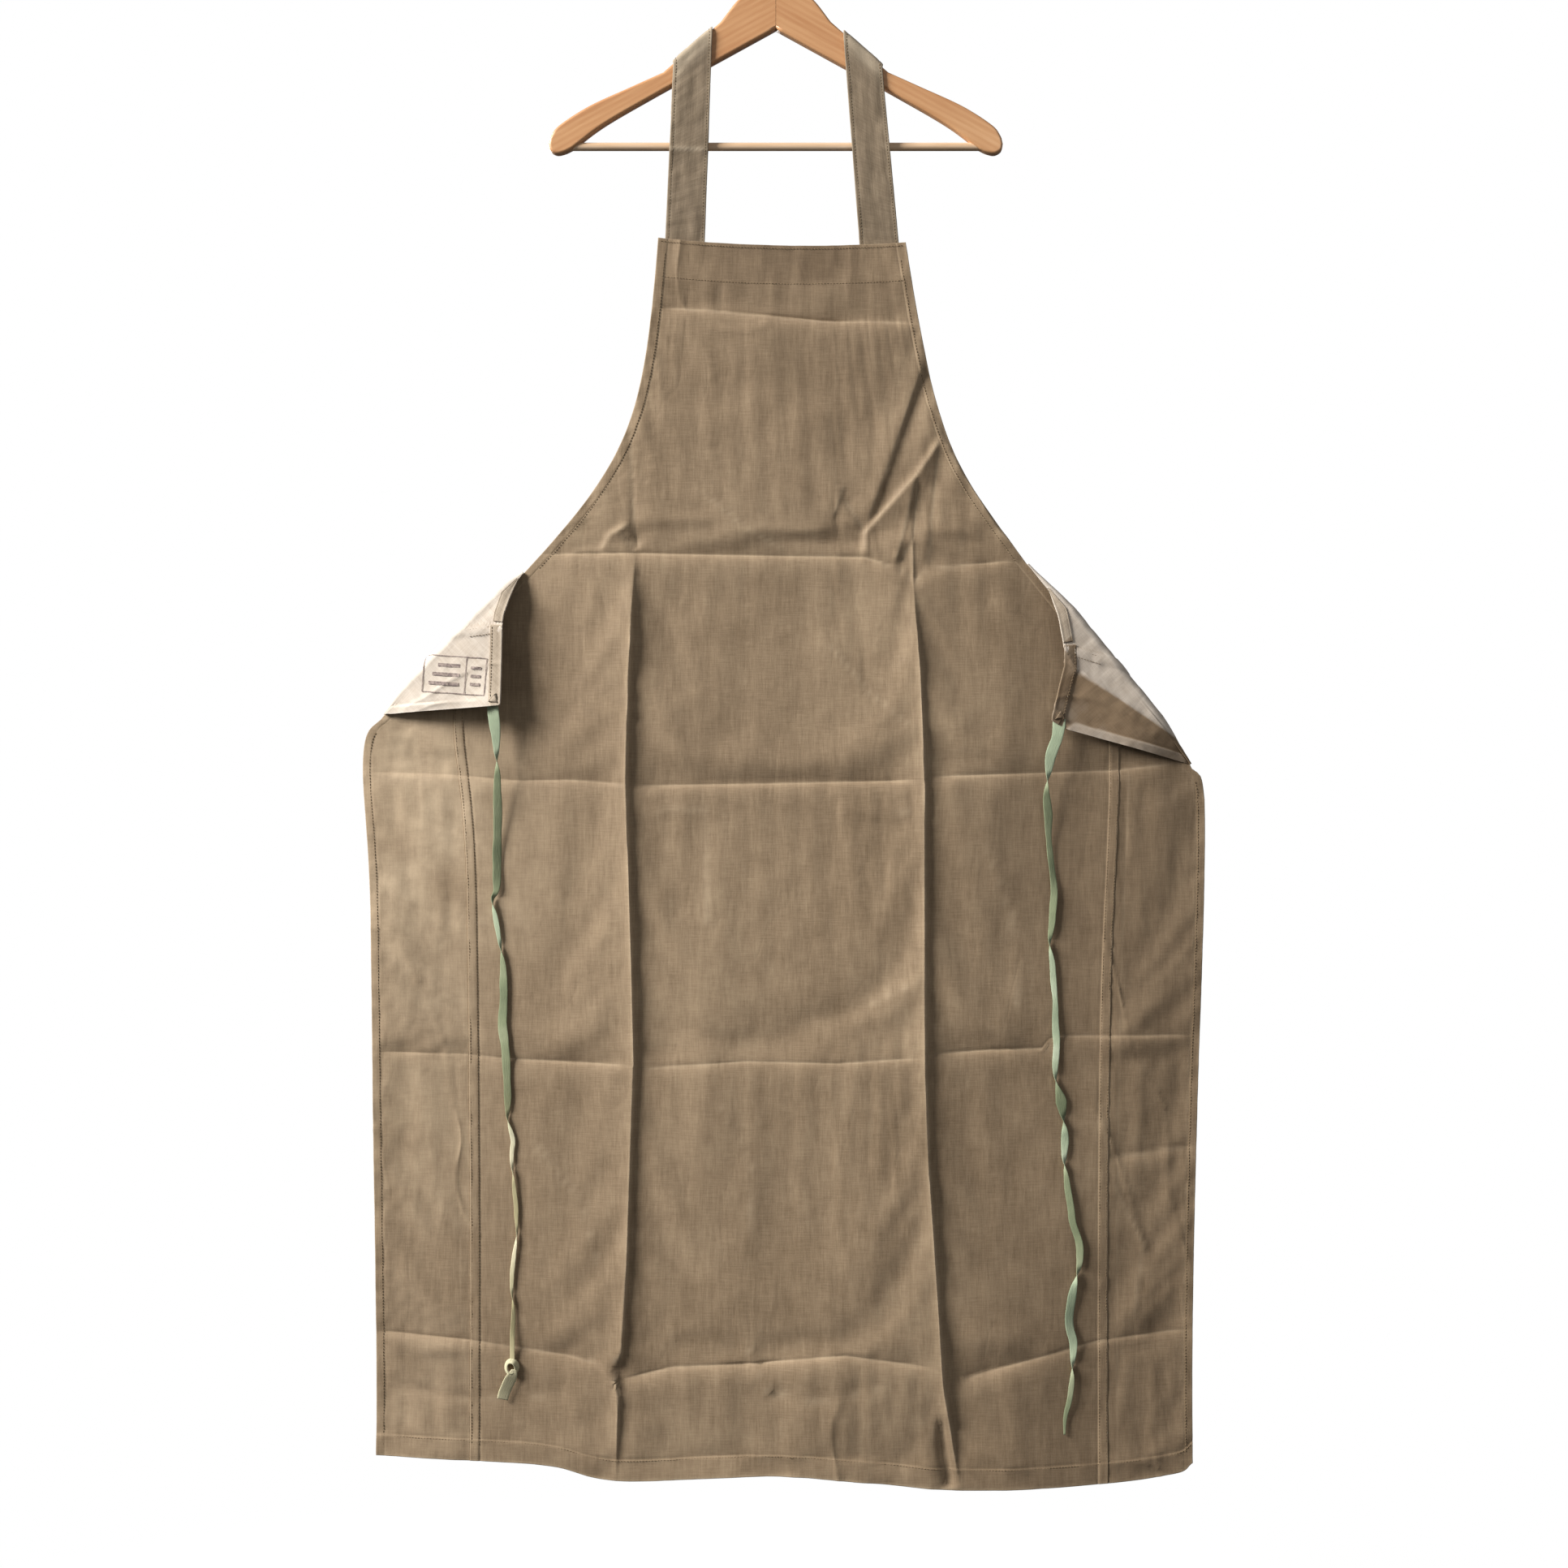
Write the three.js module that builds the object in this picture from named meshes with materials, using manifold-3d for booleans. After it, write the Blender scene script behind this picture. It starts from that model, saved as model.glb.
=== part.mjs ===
// A full-length cotton work apron hanging on a wooden coat hanger.
// Millimetres, +Z up, -Y towards the front, origin at the bight of the hanger's hook.
import * as THREE from 'three';
import { mergeVertices } from 'three/addons/utils/BufferGeometryUtils.js';
import Module from 'manifold-3d';

const wasm = await Module();
wasm.setup();

// ---------- driving dimensions ----------

const GAP = 0.3; // clearance between neighbouring pieces

const HOOK = { wire: 3.8, bowRadius: 20, filletRadius: 12, tipAngle: 200, shankDepth: 20,
    barbs: 4, barbPitch: 3.5, barbHeight: 0.5 };
const ARM = { top: -68, halfSpan: 222, thickness: 12, apex: -112, tipBottom: -234, edge: 1.5,
    undersideX: 168, undersideZ: -206, flankX: 141, flankZ: -168.2, shoulderX: 182, shoulderZ: -187 };
const SEAT = { x: 82, z: -129.7, fall: 0.88, halfLength: 28 }; // straight slope that a strap lies on
const BAR = { diameter: 8, z: -226, depth: 8 };
const DOWEL = { diameter: 6, length: 30, z: [-93.5, -104] };
const BRAD = { diameter: 1.4, length: 10, inset: 3.5 };

const CLOTH = 1.2; // one layer, with the fullness of its weave
const FACING = 0.8;
const STRAP = { width: 39, thickness: 2, splitZ: -158, endZ: -345, foldInset: 3.5 };
const HANG_Y = -13; // mid-surface of the centre panel
const RIDGE = { x: 144, slope: 0.064 }; // the wings fall back from two pressed ridges
const HEM = { depth: 21, side: 8, extra: 0.8 };
const BIB = { sag: 5, facingDepth: 40 };
const BINDING = 9.5;
const FAR = 600; // well outside the apron's sides
const BELOW_HEM = -2000;
const STRAIGHT_Z = -1400; // the side edges run straight down from here
const WING_FACING = 12;
const FLAP = { roll: 6.7, skirtDrop: 8.2 }; // radius of the fold's roll, and its axis above the skirt
const TAPE = { width: 12.5, thickness: 1.4, sides: 8, steps: 34 };

// One entry for each side: all x are distances from the hanger's centre line.
const SIDES = [
    { name: 'left', sign: -1, bibX: 114.5, bibZ: -318.4, handles: [[0.112, 0.569], [0.207, 0.658]],
        strapTopX: 81, strapEndX: 89.5,
        foldTop: [245.8, -644.2], foldAngle: 45, foldLength: 195,
        widest: [405.5, -822], belowWidest: [397, -989], hemX: 392, hemZ: -1508,
        seam: { fold: 75, flare: [314.8, -782], knee: [303, -930], hemX: 299 },
        flapEdge: [[8.4, 1.9], [41.1, 17.6], [48, 23], [105, 78.4], [120.8, 64.8]], seamCorner: 2 },
    { name: 'right', sign: 1, bibX: 126.4, bibZ: -323, handles: [[0.275, 0.667], [0.396, 0.695]],
        strapTopX: 85, strapEndX: 102.5,
        foldTop: [245.4, -635.7], foldAngle: 50.5, foldLength: 253,
        widest: [421, -880], belowWidest: [413, -1179], hemX: 409, hemZ: -1516,
        seam: { fold: 115, flare: [335.5, -813.7], knee: [327.5, -1052], hemX: 325 },
        flapEdge: [[33, 1.5], [55.9, 10.8], [81.4, 24.9], [98, 37.3], [131, 81.1], [147.8, 74.4]],
        seamCorner: 2 },
];
const HEM_DROPS = [[-152, -1529], [0, -1524], [90, -1530], [184, -1538], [300, -1536]];

// The ties hang freely, so their routes are lists of points: x, y, z.
const LEFT_TIE = [
    [-273.5, -19.6, -777.5], [-273, -19.6, -792], [-270.3, -18.5, -819], [-270.3, -16.5, -852],
    [-270.3, -14.5, -878], [-271.9, -12.5, -915], [-272.7, -11.5, -951], [-276.2, -11.5, -963],
    [-272.7, -11.5, -982], [-266.3, -11.5, -1024], [-265.5, -11.5, -1048], [-266.3, -11.5, -1085],
    [-263.1, -11.5, -1123], [-261.6, -11.5, -1162], [-261.2, -11.5, -1178], [-256.4, -11.8, -1197],
    [-256.8, -11.8, -1210], [-256, -11.8, -1238], [-253.6, -11.8, -1268], [-252, -11.8, -1287],
    [-255.2, -11.8, -1310], [-258, -11.8, -1330], [-256, -11.8, -1361], [-256.8, -11.8, -1390],
    [-256.4, -12, -1410],
];
const LEFT_KNOT = { at: [-257, -13, -1421], radii: [11, 5.5, 9.5], tailLength: 34, tailTurn: 18 };
const RIGHT_TIE = [
    [273.5, -20.2, -800], [272, -20.2, -808], [268, -20, -821], [265.5, -19, -835],
    [263.5, -17.5, -858], [265.5, -15.5, -881], [265.8, -14, -900], [267.9, -12.5, -923],
    [271.1, -11.5, -952], [270.3, -11.5, -981], [267.4, -11.5, -1005], [270.3, -11.5, -1029],
    [272.7, -11.5, -1071], [273.5, -11.5, -1101], [272.6, -11.5, -1136], [278.4, -11.5, -1160],
    [282, -11.5, -1187], [282.4, -11.5, -1218], [284.6, -11.5, -1245], [289.4, -11.5, -1274],
    [296.4, -11.5, -1297], [297, -11.5, -1313], [293.4, -11.5, -1331], [289.4, -11.5, -1353],
    [286.6, -11.5, -1370], [287.4, -11.5, -1382], [290.8, -11.5, -1396], [290.2, -11.5, -1420],
    [287, -11.5, -1448], [282.2, -11.5, -1468], [281.4, -11.5, -1485],
];

// ---------- materials ----------

const material = (color, roughness, metalness = 0) =>
    new THREE.MeshStandardMaterial({ color, roughness, metalness });
const KHAKI = 0x9a8467;
const PALE_KHAKI = 0xd8cabb;
const WOOD = 0xd09a66;
const SAGE = 0xbccbac;
const STEEL = 0xb9bcc0;

const apron = new THREE.Group();

function place(name, solid, color, roughness = 0.95, metalness = 0) {
    const mesh = new THREE.Mesh(toGeometry(solid), material(color, roughness, metalness));
    mesh.name = name;
    apron.add(mesh);
}

// ---------- solids ----------

function toSolid(geometry) {
    geometry.deleteAttribute('normal');
    geometry.deleteAttribute('uv');
    const merged = mergeVertices(geometry, 1e-4);
    return new wasm.Manifold(new wasm.Mesh({
        numProp: 3,
        vertProperties: merged.attributes.position.array,
        triVerts: new Uint32Array(merged.index.array),
    }));
}

function toGeometry(solid) {
    const mesh = solid.getMesh();
    const geometry = new THREE.BufferGeometry();
    geometry.setAttribute('position', new THREE.BufferAttribute(mesh.vertProperties, 3));
    geometry.setIndex(new THREE.BufferAttribute(mesh.triVerts, 1));
    return geometry;
}

const shapeOf = points => new THREE.Shape(points.map(p => new THREE.Vector2(p[0], p[1])));

function extrude(points, depth, extra = {}) {
    return new THREE.ExtrudeGeometry(shapeOf(points), { depth, bevelEnabled: false, ...extra });
}

// An outline in x and z, given its thickness between two values of y.
function slabAlongY(points, y0, y1) {
    return toSolid(extrude(points, y1 - y0).rotateX(Math.PI / 2).translate(0, y1, 0));
}

// An outline in y and z, given its thickness between two values of x.
function slabAlongX(points, x0, x1) {
    const turn = new THREE.Matrix4().makeBasis(
        new THREE.Vector3(0, 1, 0), new THREE.Vector3(0, 0, 1), new THREE.Vector3(1, 0, 0));
    return toSolid(extrude(points, x1 - x0).applyMatrix4(turn).translate(x0, 0, 0));
}

function rod(from, to, radius, sides = 24) {
    const start = new THREE.Vector3(...from);
    const along = new THREE.Vector3(...to).sub(start);
    const geometry = new THREE.CylinderGeometry(radius, radius, along.length(), sides);
    const turn = new THREE.Quaternion().setFromUnitVectors(
        new THREE.Vector3(0, 1, 0), along.clone().normalize());
    const middle = start.addScaledVector(along, 0.5);
    return toSolid(geometry.applyQuaternion(turn).translate(middle.x, middle.y, middle.z));
}

function smooth(points, divisions) {
    const curve = new THREE.SplineCurve(points.map(p => new THREE.Vector2(p[0], p[1])));
    return curve.getPoints(divisions).map(p => [p.x, p.y]);
}

// ---------- wire hook ----------

class PlanarArc extends THREE.Curve {
    constructor(centreX, centreZ, radius, startDegrees, endDegrees) {
        super();
        Object.assign(this, { centreX, centreZ, radius, startDegrees, endDegrees });
    }
    getPoint(t, target = new THREE.Vector3()) {
        const angle = THREE.MathUtils.degToRad(THREE.MathUtils.lerp(this.startDegrees, this.endDegrees, t));
        return target.set(this.centreX + this.radius * Math.cos(angle), 0,
            this.centreZ + this.radius * Math.sin(angle));
    }
}

const holeRadius = HOOK.wire / 2 + HOOK.barbHeight + GAP;

function wireHook() {
    const bowZ = -HOOK.bowRadius;
    const line = HOOK.bowRadius + HOOK.wire / 2;
    const drop = Math.sqrt((line + HOOK.filletRadius) ** 2 - HOOK.filletRadius ** 2);
    const filletZ = bowZ - drop;
    const turn = THREE.MathUtils.radToDeg(Math.atan2(drop, HOOK.filletRadius));
    const shankEnd = ARM.top - HOOK.shankDepth;
    const path = new THREE.CurvePath();
    path.add(new THREE.LineCurve3(new THREE.Vector3(0, 0, shankEnd), new THREE.Vector3(0, 0, filletZ)));
    path.add(new PlanarArc(HOOK.filletRadius, filletZ, HOOK.filletRadius, 180, 180 - turn));
    path.add(new PlanarArc(0, bowZ, line, -turn, HOOK.tipAngle));
    const section = new THREE.Shape();
    section.absarc(0, 0, HOOK.wire / 2, 0, 2 * Math.PI);
    let hook = toSolid(new THREE.ExtrudeGeometry(section,
        { steps: 72, curveSegments: 6, extrudePath: path, bevelEnabled: false }));
    const tip = path.getPoint(1);
    hook = hook.add(toSolid(new THREE.SphereGeometry(HOOK.wire / 2, 12, 8).translate(tip.x, 0, tip.z)));
    const barbRadius = HOOK.wire / 2 + HOOK.barbHeight;
    for (let i = 0; i < HOOK.barbs; i++) {
        const low = shankEnd + 1 + i * HOOK.barbPitch;
        hook = hook.add(toSolid(new THREE.CylinderGeometry(barbRadius, HOOK.wire / 2, HOOK.barbPitch * 0.6, 16)
            .rotateX(Math.PI / 2).translate(0, 0, low + HOOK.barbPitch * 0.3)));
    }
    return hook;
}

// ---------- wooden hanger ----------

const seatZ = x => SEAT.z - (x - SEAT.x) * SEAT.fall;

function armOutline() {
    const seatStart = SEAT.x - SEAT.halfLength;
    const seatEnd = SEAT.x + SEAT.halfLength;
    const peak = smooth([[0, ARM.top], [20, ARM.top - 3.2], [37, ARM.top - 15.5],
        [seatStart, seatZ(seatStart)]], 14);
    const shoulder = smooth([[seatEnd, seatZ(seatEnd)], [ARM.flankX, ARM.flankZ], [ARM.shoulderX, ARM.shoulderZ],
        [ARM.halfSpan - 11, ARM.tipBottom + 28], [ARM.halfSpan, ARM.tipBottom + 10]], 18);
    const under = [[ARM.halfSpan - 9, ARM.tipBottom], [ARM.halfSpan - 23, ARM.tipBottom + 5],
        [ARM.undersideX, ARM.undersideZ], [0, ARM.apex]];
    const pastJoint = -2 * ARM.edge; // trimmed off again, so that the joint face stays square
    return [[pastJoint, ARM.apex], [pastJoint, ARM.top], ...peak, ...shoulder, ...under];
}

function hangerArm(sign) {
    const thickness = ARM.thickness - 2 * ARM.edge;
    const rounded = extrude(armOutline(), thickness,
        { bevelEnabled: true, bevelThickness: ARM.edge, bevelSize: ARM.edge, bevelOffset: -ARM.edge,
            bevelSegments: 3 });
    const arm = toSolid(rounded.rotateX(Math.PI / 2).translate(0, thickness / 2, 0));
    const otherHalf = slabAlongY([[-20, 0], [GAP / 2, 0], [GAP / 2, -300], [-20, -300]], -50, 50);
    const barEnd = ARM.halfSpan - ARM.thickness;
    const bradX = barEnd - BRAD.inset;
    const blindHoles = [
        rod([0, 0, ARM.top - HOOK.shankDepth - 1], [0, 0, 0], holeRadius),
        rod([barEnd - BAR.depth - 30, 0, BAR.z], [barEnd + GAP, 0, BAR.z], BAR.diameter / 2 + GAP),
        rod([bradX, -ARM.thickness / 3, BAR.z], [bradX, ARM.thickness, BAR.z], BRAD.diameter / 2 + GAP, 12),
        ...DOWEL.z.map(z => rod([-1, 0, z], [DOWEL.length / 2 + GAP, 0, z], DOWEL.diameter / 2 + GAP, 16)),
    ];
    const drilled = blindHoles.reduce((wood, hole) => wood.subtract(hole), arm.subtract(otherHalf));
    return sign > 0 ? drilled : drilled.mirror([1, 0, 0]);
}

function trouserBar() {
    const end = ARM.halfSpan - ARM.thickness;
    let bar = rod([-end, 0, BAR.z], [end, 0, BAR.z], BAR.diameter / 2);
    for (const sign of [-1, 1]) {
        const x = sign * (end - BRAD.inset);
        bar = bar.subtract(rod([x, -ARM.thickness, BAR.z], [x, ARM.thickness, BAR.z],
            BRAD.diameter / 2 + GAP, 12));
    }
    return bar;
}

function barBrad(sign) {
    const x = sign * (ARM.halfSpan - ARM.thickness - BRAD.inset);
    const back = ARM.thickness / 2;
    return rod([x, back - BRAD.length, BAR.z], [x, back, BAR.z], BRAD.diameter / 2, 12);
}

place('wire_hook', wireHook(), STEEL, 0.3, 1);
place('hanger_left_arm', hangerArm(-1), WOOD, 0.4);
place('hanger_right_arm', hangerArm(1), WOOD, 0.4);
place('trouser_bar', trouserBar(), WOOD, 0.45);
place('left_bar_brad', barBrad(-1), STEEL, 0.4, 1);
place('right_bar_brad', barBrad(1), STEEL, 0.4, 1);
DOWEL.z.forEach((z, i) => place(`${['upper', 'lower'][i]}_joint_dowel`,
    rod([-DOWEL.length / 2, 0, z], [DOWEL.length / 2, 0, z], DOWEL.diameter / 2, 16), WOOD, 0.6));

// ---------- neck strap ----------

// The strap leans from the front of the wood to the back of the bib.
const woodFace = ARM.thickness / 2 + GAP + 0.1;
const strapEndBack = HANG_Y + CLOTH / 2 + GAP + FACING + GAP + STRAP.thickness;
const wrapRise = (GAP + 0.2) * Math.hypot(1, SEAT.fall);
const wrapThickness = STRAP.thickness * Math.hypot(1, SEAT.fall);

function neckStrapYoke() {
    const outerFace = woodFace + STRAP.thickness;
    let yoke = null;
    const backEdge = { top: [], bottom: [] };
    for (const { sign, strapTopX } of SIDES) {
        const inner = strapTopX - STRAP.width / 2 - STRAP.foldInset;
        const outer = strapTopX + STRAP.width / 2 + 1;
        const over = x => seatZ(x) + wrapRise + wrapThickness;
        const cap = [[inner, seatZ(inner) + wrapRise], [outer, seatZ(outer) + wrapRise],
            [outer, over(outer)], [inner, over(inner)]].map(([x, z]) => [sign * x, z]);
        const front = [[inner, over(inner)], [outer, over(outer)], [outer, STRAP.splitZ],
            [inner + STRAP.foldInset, STRAP.splitZ]].map(([x, z]) => [sign * x, z]);
        backEdge.top.push([sign * inner, over(inner)], [sign * outer, over(outer)]);
        backEdge.bottom.push([sign * outer, seatZ(outer) - 2]);
        const half = slabAlongY(cap, -outerFace, outerFace).add(slabAlongY(front, -outerFace, -woodFace));
        yoke = yoke ? yoke.add(half) : half;
    }
    const [leftInner, leftOuter, rightInner, rightOuter] = backEdge.top;
    const behind = [leftOuter, leftInner, [0, ARM.top - 2], rightInner, rightOuter,
        backEdge.bottom[1], [0, ARM.apex + 1], backEdge.bottom[0]];
    return yoke.add(slabAlongY(behind, woodFace, outerFace));
}

function strapRun({ sign, strapTopX, strapEndX }) {
    const half = STRAP.width / 2;
    const top = STRAP.splitZ - GAP;
    const run = slabAlongY([[strapTopX - half, top], [strapTopX + half, top],
        [strapEndX + half, STRAP.endZ], [strapEndX - half, STRAP.endZ]].map(([x, z]) => [sign * x, z]), -60, 60);
    const lean = slabAlongX([[-woodFace - STRAP.thickness, top], [-woodFace, top],
        [strapEndBack, BIB_TOP + 4], [strapEndBack, STRAP.endZ - 1],
        [strapEndBack - STRAP.thickness, STRAP.endZ - 1], [strapEndBack - STRAP.thickness, BIB_TOP + 4]],
    -1000, 1000);
    return run.intersect(lean);
}

const BIB_TOP = Math.max(...SIDES.map(side => side.bibZ));
place('neck_strap_yoke', neckStrapYoke(), KHAKI);
for (const side of SIDES) {
    place(`strap_${side.name}_run`, strapRun(side), KHAKI);
}

// ---------- cloth pieces of the bib and skirt ----------

const wingY = x => HANG_Y + RIDGE.slope * Math.max(0, Math.abs(x) - RIDGE.x);

// The part of the hanging cloth inside an outline, between two depths behind its mid-surface.
function cloth(outline, front, back) {
    const across = [-FAR, -RIDGE.x, RIDGE.x, FAR];
    const section = [...across.map(x => [x, wingY(x) + front]),
        ...across.reverse().map(x => [x, wingY(x) + back])];
    const lowest = Math.min(...outline.map(p => p[1])) - 1;
    const highest = Math.max(...outline.map(p => p[1])) + 1;
    return toSolid(extrude(section, highest - lowest).translate(0, 0, lowest))
        .intersect(slabAlongY(outline, -200, 200));
}

// The strip on one side of a row of points, to their right where width is positive.
function strip(points, width) {
    const inner = points.map((p, i) => {
        const a = points[Math.max(i - 1, 0)];
        const b = points[Math.min(i + 1, points.length - 1)];
        const length = Math.hypot(b[0] - a[0], b[1] - a[1]);
        return [p[0] + width * (b[1] - a[1]) / length, p[1] - width * (b[0] - a[0]) / length];
    });
    return [...points, ...inner.reverse()];
}

// The fold axis of a side, with functions from distances along and across it to x and z.
for (const side of SIDES) {
    const angle = THREE.MathUtils.degToRad(side.foldAngle);
    side.along = [side.sign * Math.cos(angle), -Math.sin(angle)];
    side.inward = [-side.sign * Math.sin(angle), -Math.cos(angle)];
    side.top = [side.sign * side.foldTop[0], side.foldTop[1]];
    side.onFold = (q, p) => [side.top[0] + q * side.along[0] + p * side.inward[0],
        side.top[1] + q * side.along[1] + p * side.inward[1]];
    side.foldEnd = side.onFold(side.foldLength, 0);
    side.seamTop = side.onFold(side.seam.fold, 0);
    const { sign, bibX, bibZ, handles, top } = side;
    const start = new THREE.Vector2(sign * bibX, bibZ);
    const handle = ([across, down]) => new THREE.Vector2(
        THREE.MathUtils.lerp(start.x, top[0], across), THREE.MathUtils.lerp(start.y, top[1], down));
    const curve = new THREE.CubicBezierCurve(start, handle(handles[0]), handle(handles[1]),
        new THREE.Vector2(...top));
    side.armhole = curve.getPoints(20).map(p => [p.x, p.y]);
    side.seamLine = shift => [[side.seamTop[0] + shift, side.seamTop[1]],
        ...[side.seam.flare, side.seam.knee, [side.seam.hemX, BELOW_HEM]].map(([x, z]) => [sign * x + shift, z])];
    side.edge = smooth([side.foldEnd, [sign * side.widest[0], side.widest[1]],
        [sign * side.belowWidest[0], side.belowWidest[1]], [sign * side.hemX, STRAIGHT_Z],
        [sign * side.hemX, side.hemZ]], 16);
}
const [LEFT, RIGHT] = SIDES;

const hemLine = smooth([[-LEFT.hemX, LEFT.hemZ], ...HEM_DROPS, [RIGHT.hemX, RIGHT.hemZ]], 30);
const bibTopEdge = smooth([[-LEFT.bibX, LEFT.bibZ], [4, (LEFT.bibZ + RIGHT.bibZ) / 2 - BIB.sag],
    [RIGHT.bibX, RIGHT.bibZ]], 8);

// The whole hanging outline, folded corners taken off, clockwise from the bib's left corner.
const outline = [...bibTopEdge, ...RIGHT.armhole.slice(1), RIGHT.foldEnd, ...RIGHT.edge.slice(1),
    ...[...hemLine].reverse().slice(1, -1), ...[...LEFT.edge].reverse().slice(0, -1), LEFT.foldEnd,
    ...[...LEFT.armhole].reverse().slice(0, -1)];

const hemBand = [...hemLine, ...[...hemLine].reverse().map(([x, z]) => [x, z + HEM.depth])];

function sideRegion(side, shift) {
    const far = [side.sign * FAR, BELOW_HEM];
    const line = side.seamLine(side.sign * shift);
    const beyond = side.onFold(side.seam.fold, -300);
    return [beyond, ...line, far, [side.sign * FAR, beyond[1]]];
}

function mainPanel() {
    const back = CLOTH / 2 + HEM.extra;
    let panel = cloth(outline, -CLOTH / 2, CLOTH / 2).add(
        cloth(hemBand, 0, back).intersect(slabAlongY(outline, -200, 200)));
    for (const side of SIDES) {
        panel = panel.subtract(slabAlongY(sideRegion(side, -GAP / 2), -300, 300));
    }
    return panel;
}

function sidePanel(side) {
    const back = CLOTH / 2 + HEM.extra;
    const sideHem = strip(side.edge, side.sign * HEM.side);
    return cloth(outline, -CLOTH / 2, CLOTH / 2)
        .add(cloth(hemBand, 0, back).intersect(slabAlongY(outline, -200, 200)))
        .add(cloth(sideHem, 0, back).intersect(slabAlongY(outline, -200, 200)))
        .intersect(slabAlongY(sideRegion(side, GAP / 2), -300, 300));
}

const facingFront = CLOTH / 2 + GAP;

function bibTopFacing() {
    const band = [...bibTopEdge, ...[...bibTopEdge].reverse().map(([x, z]) => [x, z - BIB.facingDepth])];
    return cloth(band, facingFront, facingFront + FACING).intersect(slabAlongY(outline, -200, 200));
}

function armholeBinding(side) {
    const below = side.armhole.filter(([, z]) => z < side.bibZ - BIB.facingDepth - BIB.sag - 10);
    return cloth(strip(below, side.sign * BINDING), facingFront, facingFront + FACING);
}

place('main_panel', mainPanel(), KHAKI);
for (const side of SIDES) {
    place(`${side.name}_side_panel`, sidePanel(side), KHAKI);
}
place('bib_top_facing', bibTopFacing(), KHAKI);
for (const side of SIDES) {
    place(`${side.name}_armhole_binding`, armholeBinding(side), PALE_KHAKI);
}

// ---------- folded-over upper corners of the skirt ----------

// Places a shape drawn along and across the fold onto the wing's own plane.
function foldFrame(side) {
    const along = new THREE.Vector3(side.along[0], RIDGE.slope * side.sign * side.along[0], side.along[1]).normalize();
    const forward = new THREE.Vector3(RIDGE.slope * side.sign, -1, 0).normalize();
    const inward = new THREE.Vector3().crossVectors(forward, along).multiplyScalar(-side.sign);
    const origin = new THREE.Vector3(side.top[0], wingY(side.top[0]), side.top[1]);
    return new THREE.Matrix4().makeBasis(along, inward, forward).setPosition(origin);
}

// A slab in the fold's frame: outline along and across, thickness forward of the skirt.
function foldSlab(side, points, from, to) {
    const geometry = extrude(points, to - from).translate(0, 0, from).applyMatrix4(foldFrame(side));
    return toSolid(side.sign < 0 ? geometry : flipped(geometry));
}

// The right fold's frame is a mirror image, so its faces are turned back outwards.
function flipped(geometry) {
    const plain = geometry.index ? geometry.toNonIndexed() : geometry;
    const position = plain.attributes.position;
    for (let i = 0; i < position.count; i += 3) {
        const [x, y, z] = [position.getX(i), position.getY(i), position.getZ(i)];
        position.setXYZ(i, position.getX(i + 1), position.getY(i + 1), position.getZ(i + 1));
        position.setXYZ(i + 1, x, y, z);
    }
    return plain;
}

const flapHeight = FLAP.skirtDrop + FLAP.roll;

function flapCloth(side) {
    const length = side.foldLength;
    const sheet = foldSlab(side, [[0, 0], ...side.flapEdge, [length, 0]],
        flapHeight - CLOTH / 2, flapHeight + CLOTH / 2);
    const bend = [];
    for (let degrees = 88; degrees <= 255; degrees += 16.7) {
        bend.push(THREE.MathUtils.degToRad(degrees));
    }
    const arc = radius => bend.map(a => [radius * Math.cos(a), FLAP.skirtDrop + radius * Math.sin(a)]);
    const ring = [...arc(FLAP.roll + CLOTH / 2), ...arc(FLAP.roll - CLOTH / 2).reverse()];
    const roll = extrude(ring, length).applyMatrix4(new THREE.Matrix4().makeBasis(
        new THREE.Vector3(0, 1, 0), new THREE.Vector3(0, 0, 1), new THREE.Vector3(1, 0, 0)));
    roll.applyMatrix4(foldFrame(side));
    return sheet.add(toSolid(side.sign < 0 ? roll : flipped(roll)));
}

// Everything past the felled seam, towards the skirt's side edge.
function pastSeam(side, shift) {
    const [a, b] = [[side.seam.fold + shift, 0], [...side.flapEdge[side.seamCorner]]];
    b[0] += shift;
    const slope = (a[0] - b[0]) / (a[1] - b[1]);
    const reach = 40;
    return foldSlab(side, [[a[0] - slope * reach, -reach], [b[0] + slope * reach, b[1] + reach],
        [800, b[1] + reach + 400], [800, -reach]], -60, 80);
}

function flapStrip(side, points, width) {
    const front = flapHeight + CLOTH / 2 + GAP;
    return foldSlab(side, strip(points, width), front, front + FACING);
}

for (const side of SIDES) {
    const whole = flapCloth(side);
    const { flapEdge, seamCorner } = side;
    place(`${side.name}_flap_main_cloth`, whole.subtract(pastSeam(side, -GAP / 2)), PALE_KHAKI);
    place(`${side.name}_flap_side_cloth`, whole.intersect(pastSeam(side, GAP / 2)), PALE_KHAKI);
    place(`${side.name}_flap_binding_end`, flapStrip(side, flapEdge.slice(0, seamCorner + 1), BINDING)
        .subtract(pastSeam(side, -GAP)), PALE_KHAKI);
    place(`${side.name}_flap_top_facing`, flapStrip(side, flapEdge.slice(seamCorner, -1), WING_FACING)
        .intersect(pastSeam(side, GAP)), PALE_KHAKI);
}

// ---------- waist ties ----------

function tie(points) {
    const path = new THREE.CatmullRomCurve3(points.map(p => new THREE.Vector3(...p)), false, 'centripetal');
    const section = new THREE.Shape();
    section.absellipse(0, 0, TAPE.thickness / 2, TAPE.width / 2, 0, 2 * Math.PI);
    return toSolid(new THREE.ExtrudeGeometry(section, { steps: TAPE.steps, curveSegments: TAPE.sides / 2,
        extrudePath: path, bevelEnabled: false }));
}

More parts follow.
